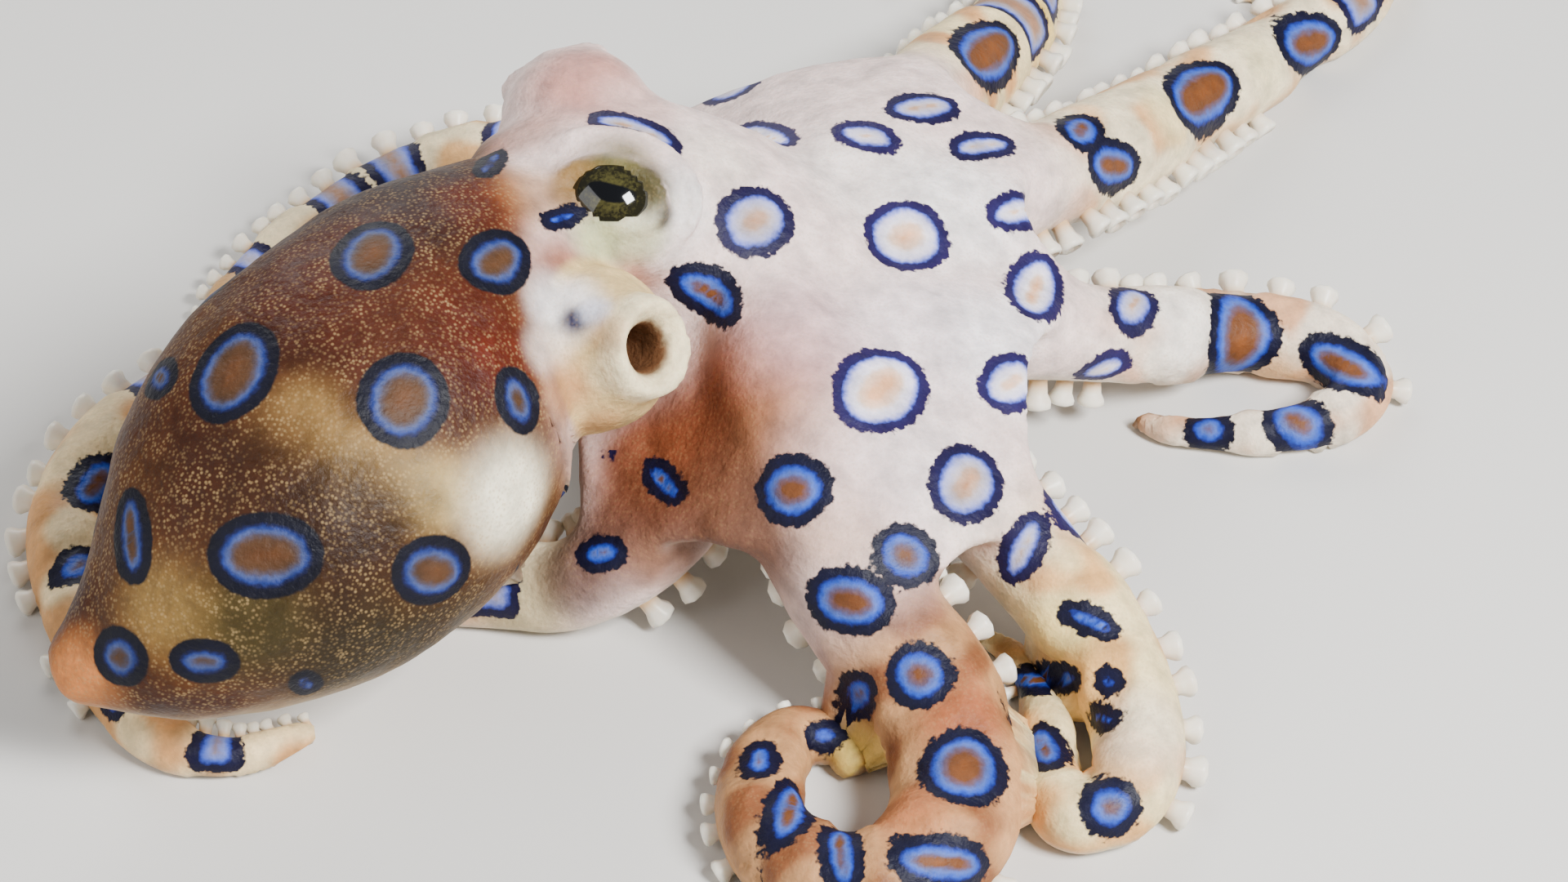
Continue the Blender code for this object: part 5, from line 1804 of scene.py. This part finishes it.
    def build(self) -> bpy.types.Object:
        """Copies the pattern along both rows and joins the copies.

        Returns:
            The joined suckers, still in millimetres.
        """
        pattern = self.pattern()
        base = corners_of(pattern)
        faces = [tuple(face.vertices) for face in pattern.data.polygons]
        bpy.data.objects.remove(pattern, do_unlink=True)
        inner = smooth(self.cup_radius, 0.05, np.hypot(base[:, 0], base[:, 1])) * (base[:, 2] > 0.1)
        low = smooth(self.stalk_height, 0.0, base[:, 2]) * (1 - inner)
        rng = random.Random(self.arm.name)
        line = self.arm.line
        places, made_faces = [], []
        for row in (-1, 1):
            distance = self.first + (0.5 * self.size(self.first) if row > 0 else 0)
            while distance < line.length - self.tip_bare:
                width = self.size(distance) * rng.uniform(*self.sizes)
                here = distance
                distance += width * self.pitch
                aim = self.aim(here, row, rng.uniform(-self.sway, self.sway))
                foot = line.at(here) + aim * float(self.arm.radius(here)) * self.foot_in
                lean, spin = rng.uniform(-self.lean, self.lean), rng.uniform(0, 6.28)
                rim = foot + aim * width
                free = here > self.arm.web_end
                if free and (rim.z < self.floor_room * width or self.crowded(here, rim, width)):
                    continue
                place = Matrix.Translation(foot) @ turn_to(aim + line.frame(here)[0] * lean)
                spots = carried(base * width, place @ Matrix.Rotation(spin, 4, "Z"))
                spots[:, 2] = np.maximum(spots[:, 2], self.lowest)
                made_faces += [tuple(v + len(places) * len(base) for v in face) for face in faces]
                places.append(spots)
        made = add_object(f"suckers_{self.arm.name}", bpy.data.meshes.new("suckers"))
        made.data.from_pydata(np.vstack(places).tolist(), [], made_faces)
        made.data.validate()
        store(made, "cup", np.tile(inner, len(places)))
        store(made, "stalk", np.tile(low, len(places)))
        made.data.shade_smooth()
        LOG.info("suckers_%s: %d suckers", self.arm.name, len(places))
        return made


@dataclass(frozen=True)
class WetEye:
    """The eye's clear wet skin over an olive-gold iris with a dark slit, so it takes a sharp highlight.

    Attributes:
        centre: the iris's colour at the slit, as sRGB hex.
        iris: its colour half-way out.
        shade: its colour under the lids.
        slit: the pupil's colour.
        fleck: the width of the iris's flecks, in millimetres.
    """

    centre: str = "4e4a26"
    iris: str = "3c391d"
    shade: str = "1a180c"
    slit: str = "07080c"
    fleck: float = 0.238

    def made(self) -> bpy.types.Material:
        """Builds the eyes' material.

        Returns:
            The material.
        """
        wet = new_material("wet eye", {
            "Roughness": 0.08, "IOR": 1.4, "Coat Weight": 0.6, "Coat Roughness": 0.03})
        tree = wet.node_tree
        place = add_node(tree, "ShaderNodeTexCoord").outputs["Object"]
        slit, round_eye = (add_node(tree, "ShaderNodeAttribute", attribute_name=name).outputs["Fac"]
                           for name in ("slit", "round"))
        flecks = add_node(tree, "ShaderNodeTexNoise", {
            "Vector": place, "Scale": 1000 / self.fleck, "Detail": 3.0})
        flecked = add_node(tree, "ShaderNodeMath", {0: round_eye, 1: flecks.outputs["Fac"]}, operation="ADD")
        iris = add_node(tree, "ShaderNodeValToRGB", {"Fac": flecked.outputs["Value"]},
                        ramp=((0.45, self.centre), (0.75, self.iris), (1.0, self.shade)))
        mask = add_node(tree, "ShaderNodeMapRange", {
            "Value": slit, "From Min": -0.1, "From Max": 0.1, "To Min": 1.0, "To Max": 0.0})
        colour = add_node(tree, "ShaderNodeMix", {
            "Factor": mask.outputs["Result"], 6: iris.outputs["Color"], 7: linear(self.slit)},
            data_type="RGBA")
        tree.links.new(colour.outputs[2], tree.nodes["Principled BSDF"].inputs["Base Color"])
        return wet


@dataclass
class Eye:
    """One eyeball in its lids.

    Attributes:
        name: the piece's name.
        centre: the middle of the bump that carries it.
        aim: the direction that it looks in.
        roll: how far the slit is turned about the aim.
        radius: the ball's own radius.
        out: how far the ball stands out of the bump's middle.
        slit_length: half the slit's length.
        slit_height: half its height.
        sag: how far the slit hangs down in its middle.
    """

    name: str
    centre: Vector
    aim: Vector
    roll: float
    radius: float
    out: float
    slit_length: float = 1.7
    slit_height: float = 0.62
    sag: float = 0.10

    def build(self) -> bpy.types.Object:
        """Models the ball and reads the slit over it.

        Returns:
            The eyeball, still in millimetres.
        """
        deselect()
        bpy.ops.mesh.primitive_uv_sphere_add(segments=96, ring_count=64, radius=self.radius)
        made = bpy.context.object
        made.name = self.name
        bpy.ops.object.shade_smooth()
        places = corners_of(made)
        across, up = places[:, 0], places[:, 1]
        sag = self.sag * np.cos(across / self.slit_length * math.pi) * (np.abs(across) < self.slit_length)
        high = np.abs(up + sag) / self.slit_height
        slit = np.hypot(across / self.slit_length, high) - 1
        store(made, "slit", np.where(places[:, 2] > 0, slit, 3.0))
        store(made, "round", np.hypot(across, up) / self.radius + (places[:, 2] < 0))
        place = Matrix.Translation(self.centre + self.aim.normalized() * self.out)
        set_corners(made, carried(places, place @ eye_turn(self.aim, self.roll)))
        return made


@dataclass
class Studio:
    """The plain pale floor and the soft lights.

    Attributes:
        floor: the floor's colour, as sRGB hex.
        width: the floor's width in metres.
        air: the colour of the light from all round.
        glow: its strength.
        lights: each light's name, place and width in metres, and power in watts.
    """

    floor: str = "d9d7d3"
    width: float = 4.0
    air: str = "eef0f2"
    glow: float = 0.22
    lights: tuple[tuple[str, Point, float, float], ...] = (
        ("key", (0.20, -0.18, 0.28), 0.12, 3.4),
        ("fill", (-0.30, -0.16, 0.20), 0.30, 0.7),
        ("rim", (-0.10, 0.34, 0.24), 0.25, 1.2),
    )

    def build(self) -> None:
        """Lays the floor and sets the lights and the pale surroundings."""
        deselect()
        bpy.ops.mesh.primitive_plane_add(size=self.width)
        floor = bpy.context.object
        floor.name = "floor"
        floor.data.materials.append(new_material("matt pale board", {
            "Base Color": linear(self.floor), "Roughness": 0.8}))
        floor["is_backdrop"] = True
        world = bpy.context.scene.world or bpy.data.worlds.new("studio")
        bpy.context.scene.world = world
        world.use_nodes = True
        world.node_tree.nodes["Background"].inputs["Color"].default_value = linear(self.air)
        world.node_tree.nodes["Background"].inputs["Strength"].default_value = self.glow
        for light in self.lights:
            self.light(*light)

    def light(self, name: str, place: Point, size: float, power: float) -> None:
        """Adds a soft square light that faces the model.

        Args:
            name: its name.
            place: where it stands, in metres.
            size: its width.
            power: its power in watts.
        """
        made = add_object(name, bpy.data.lights.new(name, "AREA"))
        made.data.size = size
        made.data.energy = power
        made.location = place
        made.rotation_euler = (Vector((0, 0, 0.01)) - Vector(place)).to_track_quat("-Z", "Y").to_euler()


def main(cad_box: tuple[Vector, Vector]) -> None:
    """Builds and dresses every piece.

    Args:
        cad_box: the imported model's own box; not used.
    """
    view = PhotoView()
    body = Body()
    skin = body.build()
    skin.name = "skin"
    Markings(skin, body, view).paint()
    skin.data.shade_smooth()
    skin.data.materials.append(RingedSkin().made())
    flesh_nodes = [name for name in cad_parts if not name.startswith("eye")]
    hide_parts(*flesh_nodes)
    pieces = [skin]
    sucker_flesh = SuckerFlesh().made()
    for arm in ARMS:
        row = Suckers(arm).build()
        row.data.materials.append(sucker_flesh)
        pieces.append(row)
    wet = WetEye().made()
    ball = body.ball_radius, body.ball_out
    for eye in (Eye("eyeball_right", body.right_eye, body.right_aim, body.eye_roll, *ball),
                Eye("eyeball_left", body.left_eye, body.left_aim, body.eye_roll, *ball)):
        eyeball = eye.build()
        eyeball.data.materials.append(wet)
        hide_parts(eye.name.replace("ball", ""))
        pieces.append(eyeball)
    for piece in pieces:
        settle(piece)
        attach(piece, "root")
        LOG.info("%s: %d faces", piece.name, len(piece.data.polygons))
    Studio().build()
    view.set_camera()


if __name__ == "__main__":
    main(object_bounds())
